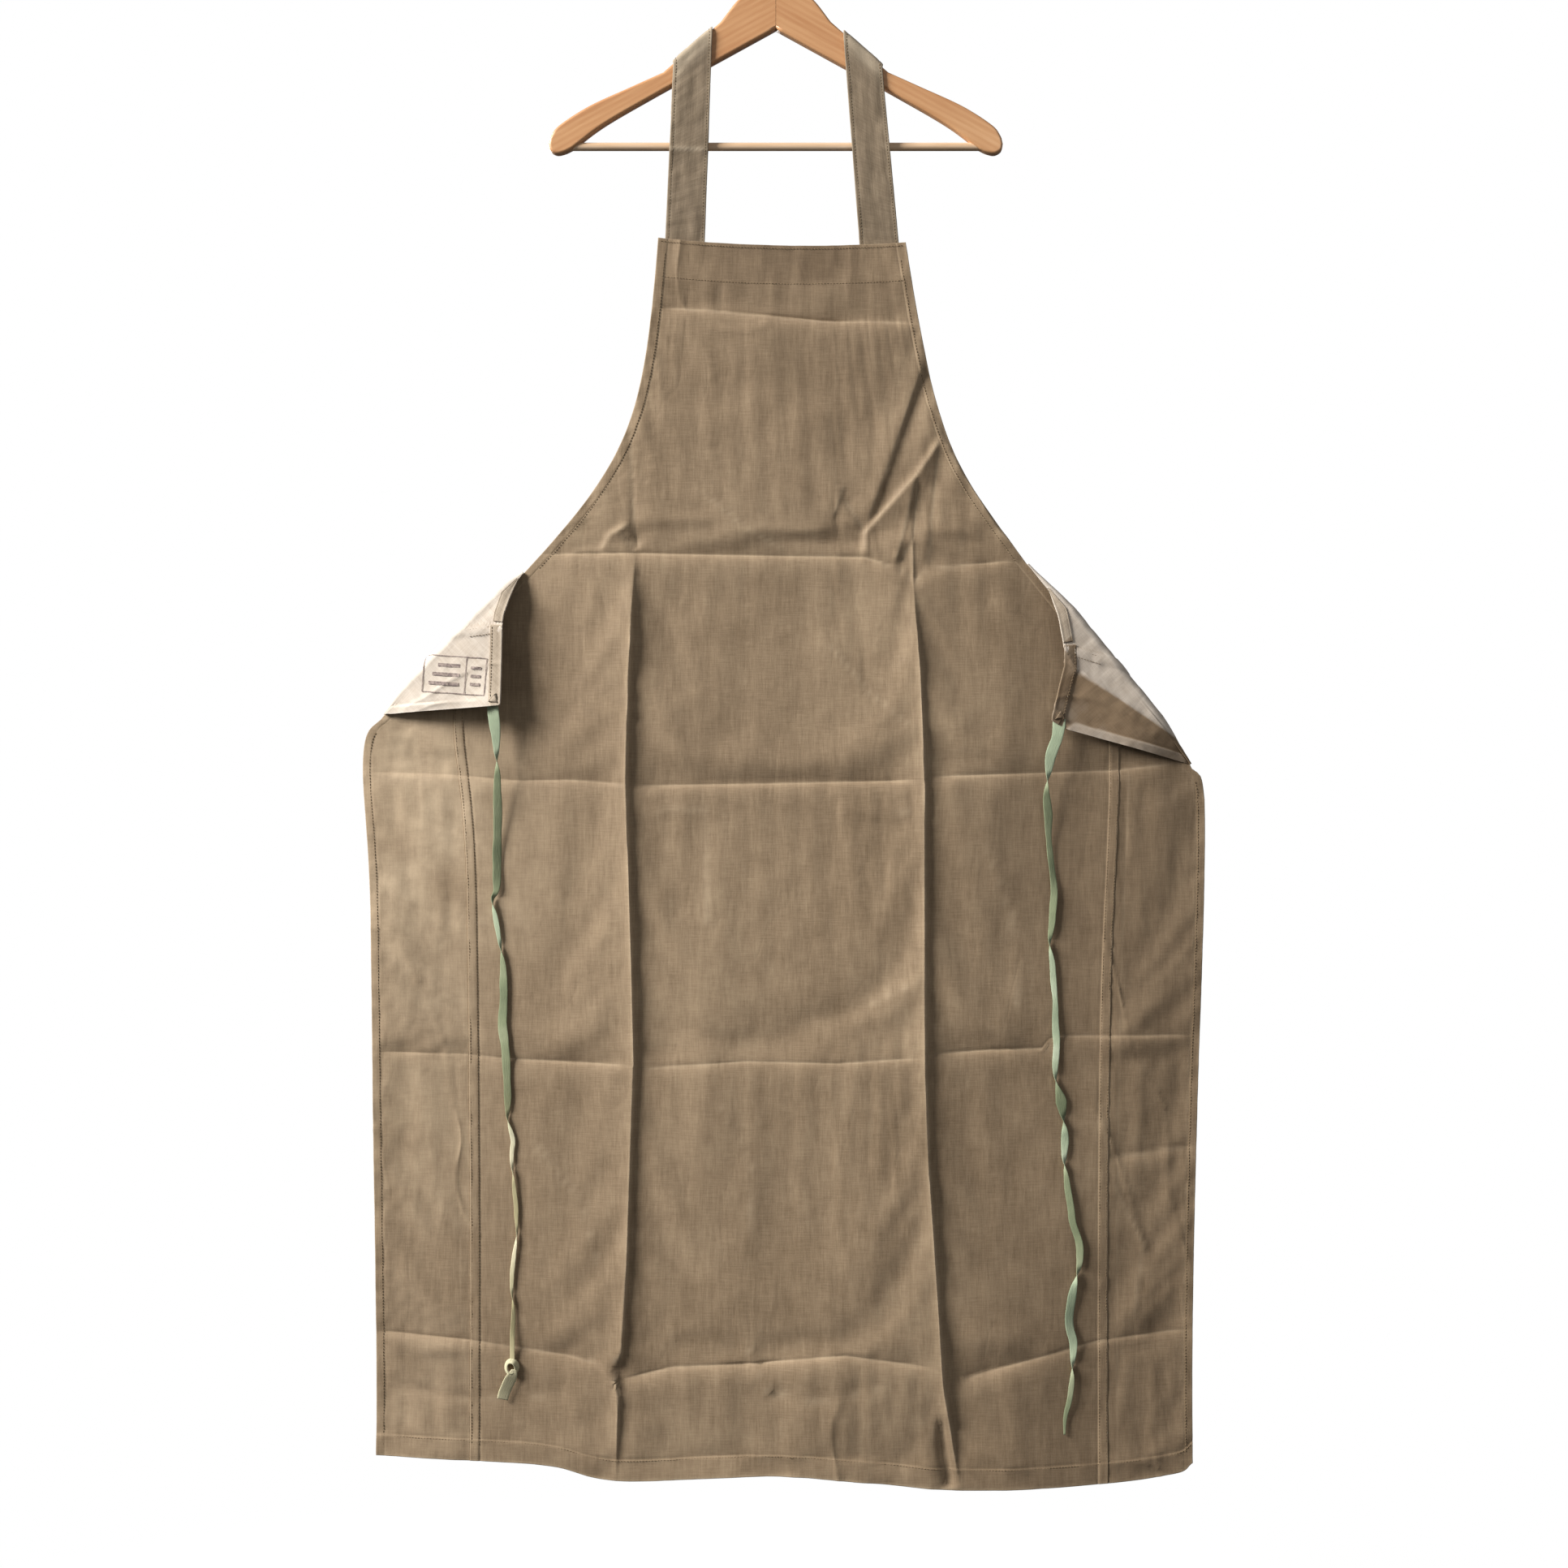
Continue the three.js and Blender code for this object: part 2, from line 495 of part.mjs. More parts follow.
function tieKnot() {
    const { at, radii, tailLength, tailTurn } = LEFT_KNOT;
    const lump = toSolid(new THREE.SphereGeometry(1, 14, 10).scale(...radii).translate(...at));
    const tail = new THREE.BoxGeometry(TAPE.width, TAPE.thickness, tailLength)
        .translate(0, 0, -tailLength / 2).rotateY(THREE.MathUtils.degToRad(tailTurn)).translate(...at);
    return lump.add(toSolid(tail));
}

place('left_waist_tie', tie(LEFT_TIE), SAGE);
place('left_tie_knot', tieKnot(), SAGE);
place('right_waist_tie', tie(RIGHT_TIE), SAGE);

export default apron;
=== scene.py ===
"""A full-length cotton work apron hanging from a wooden coat hanger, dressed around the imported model."""
import math

import bpy
import numpy as np
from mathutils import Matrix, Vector


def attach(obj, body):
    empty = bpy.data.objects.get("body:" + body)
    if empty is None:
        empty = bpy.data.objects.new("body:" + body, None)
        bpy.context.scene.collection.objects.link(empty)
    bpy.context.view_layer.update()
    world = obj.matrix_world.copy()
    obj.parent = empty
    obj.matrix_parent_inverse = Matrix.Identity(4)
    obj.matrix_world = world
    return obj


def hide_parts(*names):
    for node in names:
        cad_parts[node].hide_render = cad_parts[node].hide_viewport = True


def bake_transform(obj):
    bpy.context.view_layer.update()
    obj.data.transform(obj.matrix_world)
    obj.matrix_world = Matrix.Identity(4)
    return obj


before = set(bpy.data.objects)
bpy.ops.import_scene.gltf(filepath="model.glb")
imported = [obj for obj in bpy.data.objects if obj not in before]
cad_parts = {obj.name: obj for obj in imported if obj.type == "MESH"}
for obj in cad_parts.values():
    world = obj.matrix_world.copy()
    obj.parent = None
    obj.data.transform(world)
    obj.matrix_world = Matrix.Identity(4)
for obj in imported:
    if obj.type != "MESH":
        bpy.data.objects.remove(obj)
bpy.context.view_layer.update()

MM = 0.001
scene = bpy.context.scene

# ---------- camera: level, square to the front, at the height of the waist ----------

camera_data = bpy.data.cameras.new("camera")
camera_data.lens = 50
camera_data.sensor_width = 36
camera = bpy.data.objects.new("camera", camera_data)
camera.location = (0.008, -2.133, -0.850)
camera.rotation_euler = (math.pi / 2, 0, 0)
scene.collection.objects.link(camera)
scene.camera = camera
scene.view_settings.view_transform = "Standard"

# ---------- sizes and places, in millimetres, in the model's own frame ----------

CLOTH = 1.2
HANG_Y = -13.0  # mid-surface of the centre panel
RIDGE_X, WING_SLOPE = 144.0, 0.064
BINDING = 9.5
SEAM_WIDTH = 9.5
HEM_DEPTH, SIDE_HEM = 21.0, 8.0
FACING_DEPTH = 40.0
FOLD_ROLL, FOLD_DROP = 6.7, 8.2
FLAP_HEIGHT = FOLD_ROLL + FOLD_DROP
STRAP_HALF, STRAP_THICK = 19.5, 2.0
SEAT_X, SEAT_Z, SEAT_FALL = 82.0, -129.7, 0.88
ARM_Y = 6.0
BIB_SAG = 5.5
SEAM_STRAIGHT, SEAM_FOOT, EDGE_STRAIGHT = -1250, -1560, -1400
SEAM_CORNER = 2  # where a folded corner's seam meets its free edge, counted along its flap points

# Each half, mirrored by its sign. Of the fold: pinch is how far in its roll is full, from either end.
SIDES = {
    "left": dict(sign=-1, bib=(114.5, -318.4), handles=((0.112, 0.569), (0.207, 0.658)),
                 strap_top=81.0, strap_end=89.5, strap_crease=1.1, fold_top=(245.8, -644.2),
                 fold_angle=45.0, fold_length=195.0, pinch=(30, 46), sway=9.0, tie_x=262, strip_from=6,
                 widest=(405.5, -822.0), below=(397.0, -989.0), hem_x=392.0, hem_z=-1508.0,
                 seam_fold=75.0, flare=(314.8, -782.0), knee=(303.0, -930.0), seam_hem=299.0,
                 flap=((8.4, 1.9), (41.1, 17.6), (48.0, 23.0), (105.0, 78.4), (120.8, 64.8))),
    "right": dict(sign=1, bib=(126.4, -323.0), handles=((0.275, 0.667), (0.396, 0.695)),
                  strap_top=85.0, strap_end=102.5, strap_crease=0.2, fold_top=(245.4, -635.7),
                  fold_angle=50.5, fold_length=253.0, pinch=(70, 60), sway=4.5, tie_x=280, strip_from=30,
                  widest=(421.0, -880.0), below=(413.0, -1179.0), hem_x=409.0, hem_z=-1516.0,
                  seam_fold=115.0, flare=(335.5, -813.7), knee=(327.5, -1052.0), seam_hem=325.0,
                  flap=((33.0, 1.5), (55.9, 10.8), (81.4, 24.9), (98.0, 37.3), (131.0, 81.1),
                        (147.8, 74.4))),
}
HEM_POINTS = [(-392, -1508), (-275, -1512), (-214, -1517), (-152, -1529), (0, -1524), (90, -1530),
              (184, -1538), (300, -1536), (389, -1527), (409, -1516)]


def smooth(points, count):
    """A Catmull-Rom curve through the points, resampled."""
    p = np.array(points, float)
    p = np.vstack([2 * p[0] - p[1], p, 2 * p[-1] - p[-2]])
    t = np.linspace(0, len(p) - 3 - 1e-9, count)
    i = t.astype(int)
    f = (t - i)[:, None]
    a, b, c, d = p[i], p[i + 1], p[i + 2], p[i + 3]
    return 0.5 * (2 * b + (c - a) * f + (2 * a - 5 * b + 4 * c - d) * f**2 + (3 * b - a - 3 * c + d) * f**3)


def along_z(curve):
    """x as a function of z, for a curve of (x, z) points that runs downwards."""
    curve = np.array(curve, float)
    return lambda z: np.interp(-np.asarray(z, float), -curve[:, 1], curve[:, 0])


def prepare(name, side):
    """Adds a side's curves: the armhole, the fold's axis, the felled seam and the outer edge."""
    side["name"] = name
    sign = side["sign"]
    angle = math.radians(side["fold_angle"])
    side["top"] = np.array([sign * side["fold_top"][0], side["fold_top"][1]])
    side["along"] = np.array([sign * math.cos(angle), -math.sin(angle)])
    side["inward"] = np.array([-sign * math.sin(angle), -math.cos(angle)])
    start = np.array([sign * side["bib"][0], side["bib"][1]])
    span = side["top"] - start
    t = np.linspace(0, 1, 40)[:, None]
    h1, h2 = (start + span * np.array(h) for h in side["handles"])
    side["armhole"] = ((1 - t) ** 3 * start + 3 * (1 - t) ** 2 * t * h1 + 3 * (1 - t) * t**2 * h2
                       + t**3 * side["top"])
    side["fold_end"] = side["top"] + side["along"] * side["fold_length"]
    side["seam_top"] = side["top"] + side["along"] * side["seam_fold"]
    seam = [side["seam_top"]] + [(sign * x, z) for x, z in (
        side["flare"], side["knee"], (side["seam_hem"], SEAM_STRAIGHT), (side["seam_hem"], SEAM_FOOT))]
    side["seam"] = smooth(seam, 60)
    edge = [side["fold_end"]] + [(sign * x, z) for x, z in (
        side["widest"], side["below"], (side["hem_x"], EDGE_STRAIGHT), (side["hem_x"], side["hem_z"]))]
    side["edge"] = smooth(edge, 60)
    side["main_edge"] = along_z(np.vstack([side["armhole"], side["seam"]]))
    side["outer_edge"] = along_z(np.vstack([[side["seam_top"]], side["edge"]]))
    side["seam_x"] = along_z(side["seam"])


for side_name, one_side in SIDES.items():
    prepare(side_name, one_side)
LEFT, RIGHT = SIDES["left"], SIDES["right"]
hem_curve = smooth(HEM_POINTS, 120)


def hem_z(x):
    return np.interp(x, hem_curve[:, 0], hem_curve[:, 1])


def bib_z(x):
    left, right = -LEFT["bib"][0], RIGHT["bib"][0]
    t = np.clip((x - left) / (right - left), 0, 1)
    return LEFT["bib"][1] + (RIGHT["bib"][1] - LEFT["bib"][1]) * t - BIB_SAG * 4 * t * (1 - t)


# ---------- seeded noise and the cloth's relief ----------

LATTICE = 97  # cells before the noise repeats


def lattice_noise(x, z, size_x, size_z, seed):
    """Smooth noise of about -1 to 1 with cells of that size."""
    table = np.random.default_rng(seed).uniform(-1, 1, (LATTICE, LATTICE))
    u, v = np.asarray(x) / size_x + 211.3, np.asarray(z) / size_z + 307.7
    i, j = np.floor(u).astype(int), np.floor(v).astype(int)
    f, g = u - i, v - j
    f, g = f * f * f * (f * (6 * f - 15) + 10), g * g * g * (g * (6 * g - 15) + 10)
    i0, i1, j0, j1 = i % LATTICE, (i + 1) % LATTICE, j % LATTICE, (j + 1) % LATTICE
    low = table[i0, j0] * (1 - f) + table[i1, j0] * f
    high = table[i0, j1] * (1 - f) + table[i1, j1] * f
    return 1.5 * (low * (1 - g) + high * g)


def swell(x, z, shape):
    """Noise of one of the shapes below: height, cell width, cell height and seed."""
    return shape[0] * lattice_noise(x, z, *shape[1:])


def sharp_lines(value, sharpness, power):
    """One along the lines where a noise is zero, falling to nothing beside them."""
    return np.clip(1 - sharpness * np.abs(value), 0, 1) ** power


def bell(distance, width):
    return np.exp(-(distance / width) ** 2)


def smoothstep(a, b, t):
    s = np.clip((t - a) / (b - a), 0, 1)
    return s * s * (3 - 2 * s)


def line_distance(x, z, points):
    """Distance to a run of segments, the share of the way along it, and the side it is on."""
    p = np.array(points, float)
    lengths = np.hypot(*(p[1:] - p[:-1]).T)
    total = lengths.sum()
    best = np.full(np.shape(x), 1e9)
    share = np.zeros(np.shape(x))
    side = np.ones(np.shape(x))
    for k, length in enumerate(lengths):
        dx, dz = (p[k + 1] - p[k]) / length
        t = np.clip((x - p[k, 0]) * dx + (z - p[k, 1]) * dz, 0, length)
        ex, ez = x - p[k, 0] - t * dx, z - p[k, 1] - t * dz
        d = np.hypot(ex, ez)
        near = d < best
        best = np.where(near, d, best)
        share = np.where(near, (lengths[:k].sum() + t) / total, share)
        side = np.where(near, np.sign(ex * dz - ez * dx), side)
    return best, share, side


LEFT_RIDGE = [(-137, -628), (-143, -750), (-145.5, -846), (-140, -1036), (-138, -1124), (-142, -1235),
              (-145, -1322), (-150, -1406), (-159, -1415), (-153, -1446), (-155, -1530)]
RIGHT_RIDGE = [(134, -650), (141, -750), (145, -850), (145, -1052), (145.5, -1132), (149.5, -1235),
               (158, -1354), (163, -1434), (177, -1521), (184, -1540)]
WAIST = [(-246, -626), (-140, -625), (3, -628), (87, -629), (118, -640), (134, -652), (149, -640),
         (221, -633), (252, -633)]
BIB_FOLD = [(-120, -386), (-56, -389), (49, -399), (138, -401)]
THIGH = [(-400, -838), (-315, -841), (-251, -847), (-204, -846), (-146, -850), (-29, -850), (114, -847),
         (147, -843), (265, -839), (329, -837), (400, -829)]
KNEE = [(-390, -1112), (-303, -1114), (-267, -1118), (-140, -1124), (-30, -1120), (60, -1122),
        (144, -1116), (210, -1109), (265, -1108), (274, -1096), (409, -1096)]
SHIN = [(-392, -1386), (-299, -1394), (-204, -1408), (-154, -1431), (-100, -1418), (-13, -1414),
        (67, -1406), (154, -1418), (170, -1434), (210, -1422), (273, -1406), (321, -1394), (409, -1385)]
WIDE_FOLD, DEEP_FOLD = (6.0, 4.5), (8.0, 5.0)
# Creases: points, height (negative for a valley), half-width (or one for each side), and a step
# from one side to the other.
CREASES = [
    (LEFT_RIDGE, 6.4, (19.0, 4.0), 1.2),
    (RIGHT_RIDGE, 6.0, (19.0, 4.0), 1.1),
    ([(-142, -470), (-142, -505), (-138, -595), (-134, -623)], -2.0, (4.0, 12.0), -0.9),
    (WAIST, -3.2, WIDE_FOLD, 1.8),
    (THIGH[:5], -3.2, WIDE_FOLD, 1.9),
    ([(-142, -852)] + THIGH[5:7] + [(143, -846)], -3.0, (5.5, 4.2), 2.0),
    (THIGH[7:], -3.2, WIDE_FOLD, 1.9),
    ([(-120, -877), (-85, -876)], 2.4, 5.0, 0.0),
    ([(60, -876), (135, -877)], 2.4, 5.0, 0.0),
    (KNEE[:4], -2.9, WIDE_FOLD, 1.5),
    ([(-136, -1128)] + KNEE[4:7], -1.8, 6.0, 0.8),
    ([(146, -1113)] + KNEE[7:], -2.9, WIDE_FOLD, 1.5),
    ([(325, -1216), (413, -1205)], -2.4, 7.0, 0.8),
    (SHIN[:3] + [(-160, -1418)], -4.4, DEEP_FOLD, 2.6),
    (SHIN[3:8], -4.4, DEEP_FOLD, 2.6),
    (SHIN[8:], -4.4, DEEP_FOLD, 2.6),
    ([(-30, -1395), (-13, -1430), (-6, -1445)], 2.8, 6.0, 0.0),
    ([(159, -1470), (168, -1536)], -7.0, (5.0, 7.0), 1.5),
    ([(-114, -386)] + BIB_FOLD[1:], -4.2, (5.5, 4.0), 2.8),
    ([(-54, -362), (-54, -392)], -2.4, 4.0, 0.0),
    ([(146, -436), (131, -478), (109, -543), (88, -598)], 3.2, 3.6, 2.4),
    ([(162, -512), (137, -549), (87, -605), (87, -630)], 4.2, (3.2, 4.4), -1.8),
    ([(138, -550), (134, -611), (118, -639)], -1.5, 3.2, 1.2),
    ([(136, -552), (128, -590), (116, -636)], 2.2, 2.6, 0.8),
    ([(159, -517), (152, -590), (149, -640)], -1.6, 3.6, 1.2),
    ([(133, -611), (134, -652)], 2.2, 2.4, 0.0),
    ([(67, -574), (80, -593), (87, -606)], -1.5, 3.0, 1.0),
    ([(66, -560), (56, -590)], 1.6, 3.0, 0.8),
    ([(154, -496), (176, -538), (218, -604), (248, -632)], 2.4, 4.5, 1.8),
    ([(-170, -623), (-162, -607), (-143, -597)], 2.2, 2.8, 1.2),
    ([(-152, -604), (-137, -623)], -1.6, 2.6, 0.8),
    ([(90, -1065), (142, -1040)], 2.4, 6.0, 1.0),
    ([(-108, -876), (-67, -876), (-67, -985), (-108, -985), (-108, -880)], 0.8, 3.0, 0.0),
    ([(-30, -1440), (40, -1450), (110, -1436)], -1.8, 6.0, 0.8),
    ([(-380, -1440), (-300, -1452), (-200, -1446)], -1.8, 6.0, 0.8),
    ([(-80, -560), (-30, -600), (10, -624)], 1.0, 5.0, 0.4),
    ([(40, -700), (90, -760), (140, -800)], 1.2, 6.0, 0.6),
    ([(-250, -1180), (-190, -1260), (-170, -1330)], 1.2, 6.0, 0.6),
    ([(200, -900), (230, -980), (236, -1080)], 1.2, 6.0, -0.6),
    ([(330, -1240), (360, -1300), (350, -1380)], 1.4, 6.0, 0.6),
    ([(-60, -1150), (-20, -1230), (-30, -1330)], 1.0, 6.0, 0.5),
]


RIDGE_HEIGHT = 5  # taller creases are the two pressed ridges
SKIRT, LOW_SKIRT, BIB, BELOW_TOP = (-600, -700), (-900, -1500), (-560, -470), (-318, -345)
WAVES, NARROW_WAVES, STREAKS = (2.2, 130, 300, 11), (0.5, 52, 190, 12), (0.14, 21, 120, 13)
DIMPLES = (0.22, 30, 26, 14)
RIPPLES, BIB_WAVES, HEM_SWAY = (0.2, 9, 34, 15), (1.2, 46, 40, 17), (3.2, 92, 900, 16)
TROUGH_DEPTH, DRAPE_CAP = 3.0, 5


def relief(x, z):
    """How far the hanging cloth stands forward of its plain surface, in millimetres."""
    x, z = np.broadcast_arrays(np.asarray(x, float), np.asarray(z, float))
    forward = np.zeros(x.shape)
    for points, height, width, step in CREASES:
        d, share, side = line_distance(x, z, points)
        fade = smoothstep(-0.02, 0.10, share) * smoothstep(1.02, 0.90, share)
        wobble = 1 + (0.12 if height > RIDGE_HEIGHT else 0.35) * lattice_noise(x, z, 60, 60, 5)
        above, below = width if isinstance(width, tuple) else (width, width)
        width = np.where(side > 0, above, below)
        soft = np.sqrt(d * d + 0.25)
        profile = 0.42 * np.exp(-soft / (0.32 * width)) + 0.58 * np.exp(-soft / (1.25 * width))
        forward += height * wobble * fade * profile
        forward += step * fade * side * (d / width) * np.exp(-d / (1.6 * width))
    skirt = smoothstep(*SKIRT, z)
    if drape is not None:
        forward += np.clip(drape_at(x, z), -DRAPE_CAP, DRAPE_CAP) * (1 - 0.7 * behind_tie(x, z))
    forward += swell(x, z, WAVES) * (0.5 + 0.8 * skirt)
    forward += swell(x, z, NARROW_WAVES) * (0.7 + 0.5 * skirt)
    for shape in (STREAKS, DIMPLES, RIPPLES):
        forward += swell(x, z, shape)
    forward += smoothstep(*BIB, z) * swell(x, z, BIB_WAVES) * smoothstep(*BELOW_TOP, z)
    lean = x + 0.25 * z + 14 * lattice_noise(x, z, 80, 80, 21)
    pleats = sharp_lines(lattice_noise(lean, z, 62, 190, 22), 2.2, 6)
    forward += pleats * np.clip(0.5 + lattice_noise(x, z, 110, 160, 23), 0, 1)
    cross = sharp_lines(lattice_noise(x, z + 0.2 * x, 150, 48, 24), 2.4, 6)
    forward += 0.8 * cross * np.clip(0.3 + lattice_noise(x, z, 130, 120, 25), 0, 1)
    forward += smoothstep(*LOW_SKIRT, z) * swell(x, z, HEM_SWAY)
    forward -= TROUGH_DEPTH * np.clip(1 - ((x - 4) / RIDGE_X) ** 2, 0, 1) * skirt
    for side in SIDES.values():
        forward = forward * (1 - 0.35 * near_tie(x, z, side)) * fold_zone(x, z, side)
    return forward


drape = None  # not simulated yet; the ties are laid first, over the pressed shape alone
SIM_TOP, SIM_DEPTH = -320, 1204
SIM_ROWS, SIM_COLUMNS, SIM_FRAMES, SPARE_CLOTH = 120, 84, 26, 0.004
SWELL_GOAL = 2.2  # most of the cloth swells no further than this
PRESSED_ROWS = (-320, -395, -627, -846, -1118, -1412, -1524)
RIDGE_HELD, RIDGE_TOP = 5, -620
outline_left = along_z(np.vstack([LEFT["armhole"], LEFT["edge"]]))
outline_right = along_z(np.vstack([RIGHT["armhole"], RIGHT["edge"]]))


def simulated_drape():
    """The apron between its pressed folds, let go with a little spare cloth: how far each point swells."""
    z = np.broadcast_to(SIM_TOP - SIM_DEPTH * np.linspace(0, 1, SIM_ROWS)[:, None], (SIM_ROWS, SIM_COLUMNS))
    u = np.linspace(0, 1, SIM_COLUMNS)[None, :]
    x = outline_left(z) * (1 - u) + outline_right(z) * u
    y = 0.8 * lattice_noise(x, z, 70, 110, 91) + 0.4 * lattice_noise(x, z, 30, 50, 92)
    sheet = new_mesh("drape_study", np.stack([x, y, z], -1).reshape(-1, 3) * MM,
                     grid_quads(SIM_ROWS, SIM_COLUMNS))
    held = np.zeros(z.shape, bool)
    for height in PRESSED_ROWS:
        held[np.argmin(np.abs(z[:, 0] - height))] = True
    for ridge in (LEFT_RIDGE, RIGHT_RIDGE):
        held |= (np.abs(x - along_z(ridge)(z)) < RIDGE_HELD) & (z < RIDGE_TOP)
    held[:, [0, -1]] = True
    group = sheet.vertex_groups.new(name="held")
    group.add(np.flatnonzero(held).tolist(), 1.0, "REPLACE")
    cloth = sheet.modifiers.new("cloth", "CLOTH")
    cloth.settings.quality = 5
    cloth.settings.mass = 0.12
    cloth.settings.tension_stiffness = 25
    cloth.settings.compression_stiffness = 25
    cloth.settings.bending_stiffness = 0.15
    cloth.settings.shrink_min = -SPARE_CLOTH
    cloth.settings.vertex_group_mass = "held"
    cloth.collision_settings.use_self_collision = False
    cloth.collision_settings.use_collision = False
    cloth.point_cache.frame_end = SIM_FRAMES
    for frame_number in range(1, SIM_FRAMES + 1):
        scene.frame_set(frame_number)
    settled = sheet.evaluated_get(bpy.context.evaluated_depsgraph_get())
    points = np.empty(len(sheet.data.vertices) * 3)
    settled.data.vertices.foreach_get("co", points)
    swelling = -points.reshape(SIM_ROWS, SIM_COLUMNS, 3)[..., 1] / MM
    scene.frame_set(1)
    bpy.data.objects.remove(sheet)
    return swelling * min(1.0, SWELL_GOAL / max(np.percentile(np.abs(swelling), 95), 0.01))


def drape_at(x, z):
    """The simulated swelling of the cloth at a point."""
    v = np.clip((SIM_TOP - z) / SIM_DEPTH, 0, 1) * (SIM_ROWS - 1)
    left, right = outline_left(z), outline_right(z)
    u = np.clip((x - left) / (right - left), 0, 1) * (SIM_COLUMNS - 1)
    i, j = np.minimum(v.astype(int), SIM_ROWS - 2), np.minimum(u.astype(int), SIM_COLUMNS - 2)
    f, g = v - i, u - j
    return ((drape[i, j] * (1 - g) + drape[i, j + 1] * g) * (1 - f)
            + (drape[i + 1, j] * (1 - g) + drape[i + 1, j + 1] * g) * f)


def near_tie(x, z, side):
    """One where the side's tie hangs in front of the cloth, falling to nothing 60 mm away."""
    return smoothstep(60, 25, np.abs(x - side["sign"] * side["tie_x"])) * smoothstep(-640, -700, z)


def behind_tie(x, z):
    return np.maximum(near_tie(x, z, LEFT), near_tie(x, z, RIGHT))


def fold_zone(x, z, side):
    """Flat along the fold, so that the cloth meets the roll of the folded corner."""
    return smoothstep(0, 45, line_distance(x, z, [side["top"], side["fold_end"]])[0])


def plain_y(x):
    return HANG_Y + WING_SLOPE * np.maximum(0, np.abs(x) - RIDGE_X)


def on_cloth(x, z, lift=0.0):
    """Points on the front of the hanging cloth, in metres."""
    x, z = np.broadcast_arrays(np.asarray(x, float), np.asarray(z, float))
    y = plain_y(x) - relief(x, z) - CLOTH / 2 - lift
    return np.stack([x, y, z], -1) * MM


# ---------- mesh helpers ----------

def new_mesh(name, vertices, faces, materials=(), indices=None, uv=None):
    mesh = bpy.data.meshes.new(name)
    mesh.from_pydata(np.asarray(vertices, float).tolist(), [], [tuple(f) for f in faces])
    for material in materials:
        mesh.materials.append(material)
    if indices is not None:
        mesh.polygons.foreach_set("material_index", np.asarray(indices, np.int32))
    if uv is not None:
        layer = mesh.uv_layers.new(name="pattern")
        loops = np.empty(len(mesh.loops), np.int32)
        mesh.loops.foreach_get("vertex_index", loops)
        layer.data.foreach_set("uv", np.asarray(uv, np.float32)[loops].ravel())
    mesh.polygons.foreach_set("use_smooth", np.ones(len(mesh.polygons), bool))
    mesh.validate()
    mesh.update()
    obj = bpy.data.objects.new(name, mesh)
    scene.collection.objects.link(obj)
    return obj


def add_value(obj, name, values):
    attribute = obj.data.attributes.new(name, "FLOAT", "POINT")
    attribute.data.foreach_set("value", np.asarray(values, np.float32))


def dress(obj, body, slot, *nodes):
    """Puts a piece on its body and hides the solids that it stands for; slot is not used."""
    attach(obj, body)
    if nodes:
        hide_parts(*nodes)


def unit(vectors):
    return vectors / np.maximum(np.linalg.norm(vectors, axis=-1, keepdims=True), 1e-12)


def tangents(points):
    return unit(np.gradient(points, axis=0))


def travelled(points):
    """The distance along a run of points, at each one."""
    return np.concatenate([[0], np.cumsum(np.linalg.norm(np.diff(points, axis=0), axis=1))])


def offset_curve(points, distance):
    tangent = tangents(points)
    return points + np.stack([-tangent[:, 1], tangent[:, 0]], 1) * distance


def grid_quads(rows, columns):
    a = np.arange(rows * columns).reshape(rows, columns)[:-1, :-1].ravel()
    return np.stack([a, a + 1, a + columns + 1, a + columns], 1)


def grid_normals(points):
    return unit(np.cross(np.gradient(points, axis=1), np.gradient(points, axis=0)))


def cloth_sheet(name, front, thickness, uv, materials, wear_and_highlight=None, shade_and_darkening=None, toward=(0, -1, 0)):
    """A closed sheet: front is a grid of points, and the back lies a thickness behind it."""
    rows, columns = front.shape[:2]
    normal = grid_normals(front)
    if np.sum(normal.mean((0, 1)) * np.array(toward)) < 0:
        normal = -normal
    back = front - normal * (np.asarray(thickness) * MM)[..., None]
    count = rows * columns
    vertices = np.vstack([front.reshape(-1, 3), back.reshape(-1, 3)])
    quads = grid_quads(rows, columns)
    r, c = rows // 2, columns // 2
    if np.dot(np.cross(front[r, c + 1] - front[r, c], front[r + 1, c] - front[r, c]), normal[r, c]) < 0:
        quads = quads[:, ::-1]
    rim = np.concatenate([np.arange(columns), np.arange(1, rows) * columns + columns - 1,
                          (rows - 1) * columns + np.arange(columns - 2, -1, -1),
                          np.arange(rows - 2, 0, -1) * columns])
    after = np.roll(rim, -1)
    edge = np.stack([rim, rim + count, after + count, after], 1)
    first = quads[0].tolist()
    if first[(first.index(rim[0]) + 1) % 4] != rim[1]:
        edge = edge[:, ::-1]
    faces = np.vstack([quads, quads[:, ::-1] + count, edge])
    indices = np.repeat([0, len(materials) - 1, 0], [len(quads), len(quads), len(edge)])
    obj = new_mesh(name, vertices, faces, materials, indices, np.vstack([uv.reshape(-1, 2)] * 2))
    add_value(obj, "wear_and_highlight", np.tile(np.zeros(count) if wear_and_highlight is None else np.ravel(wear_and_highlight), 2))
    # The second value is painted shade, with some other darkening, laid on both faces.
    if shade_and_darkening is not None:
        add_value(obj, "shade_and_darkening", np.tile(np.ravel(shade_and_darkening), 2))
    return obj


def spaced(length, step, near_start=(), near_end=()):
    """Distances from 0 to length: some fixed ones at each end, and even steps between."""
    near_start, near_end = list(near_start) or [0.0], list(near_end) or [0.0]
    middle_from, middle_to = near_start[-1], length - near_end[-1]
    count = max(int(round((middle_to - middle_from) / step)), 1)
    middle = np.linspace(middle_from, middle_to, count + 1)[1:-1]
    return np.concatenate([near_start, middle, (length - np.array(near_end))[::-1]])


# ---------- materials ----------

def nodes_of(name):
    material = bpy.data.materials.new(name)
    material.use_nodes = True
    tree = material.node_tree
    return material, tree, tree.nodes["Principled BSDF"]


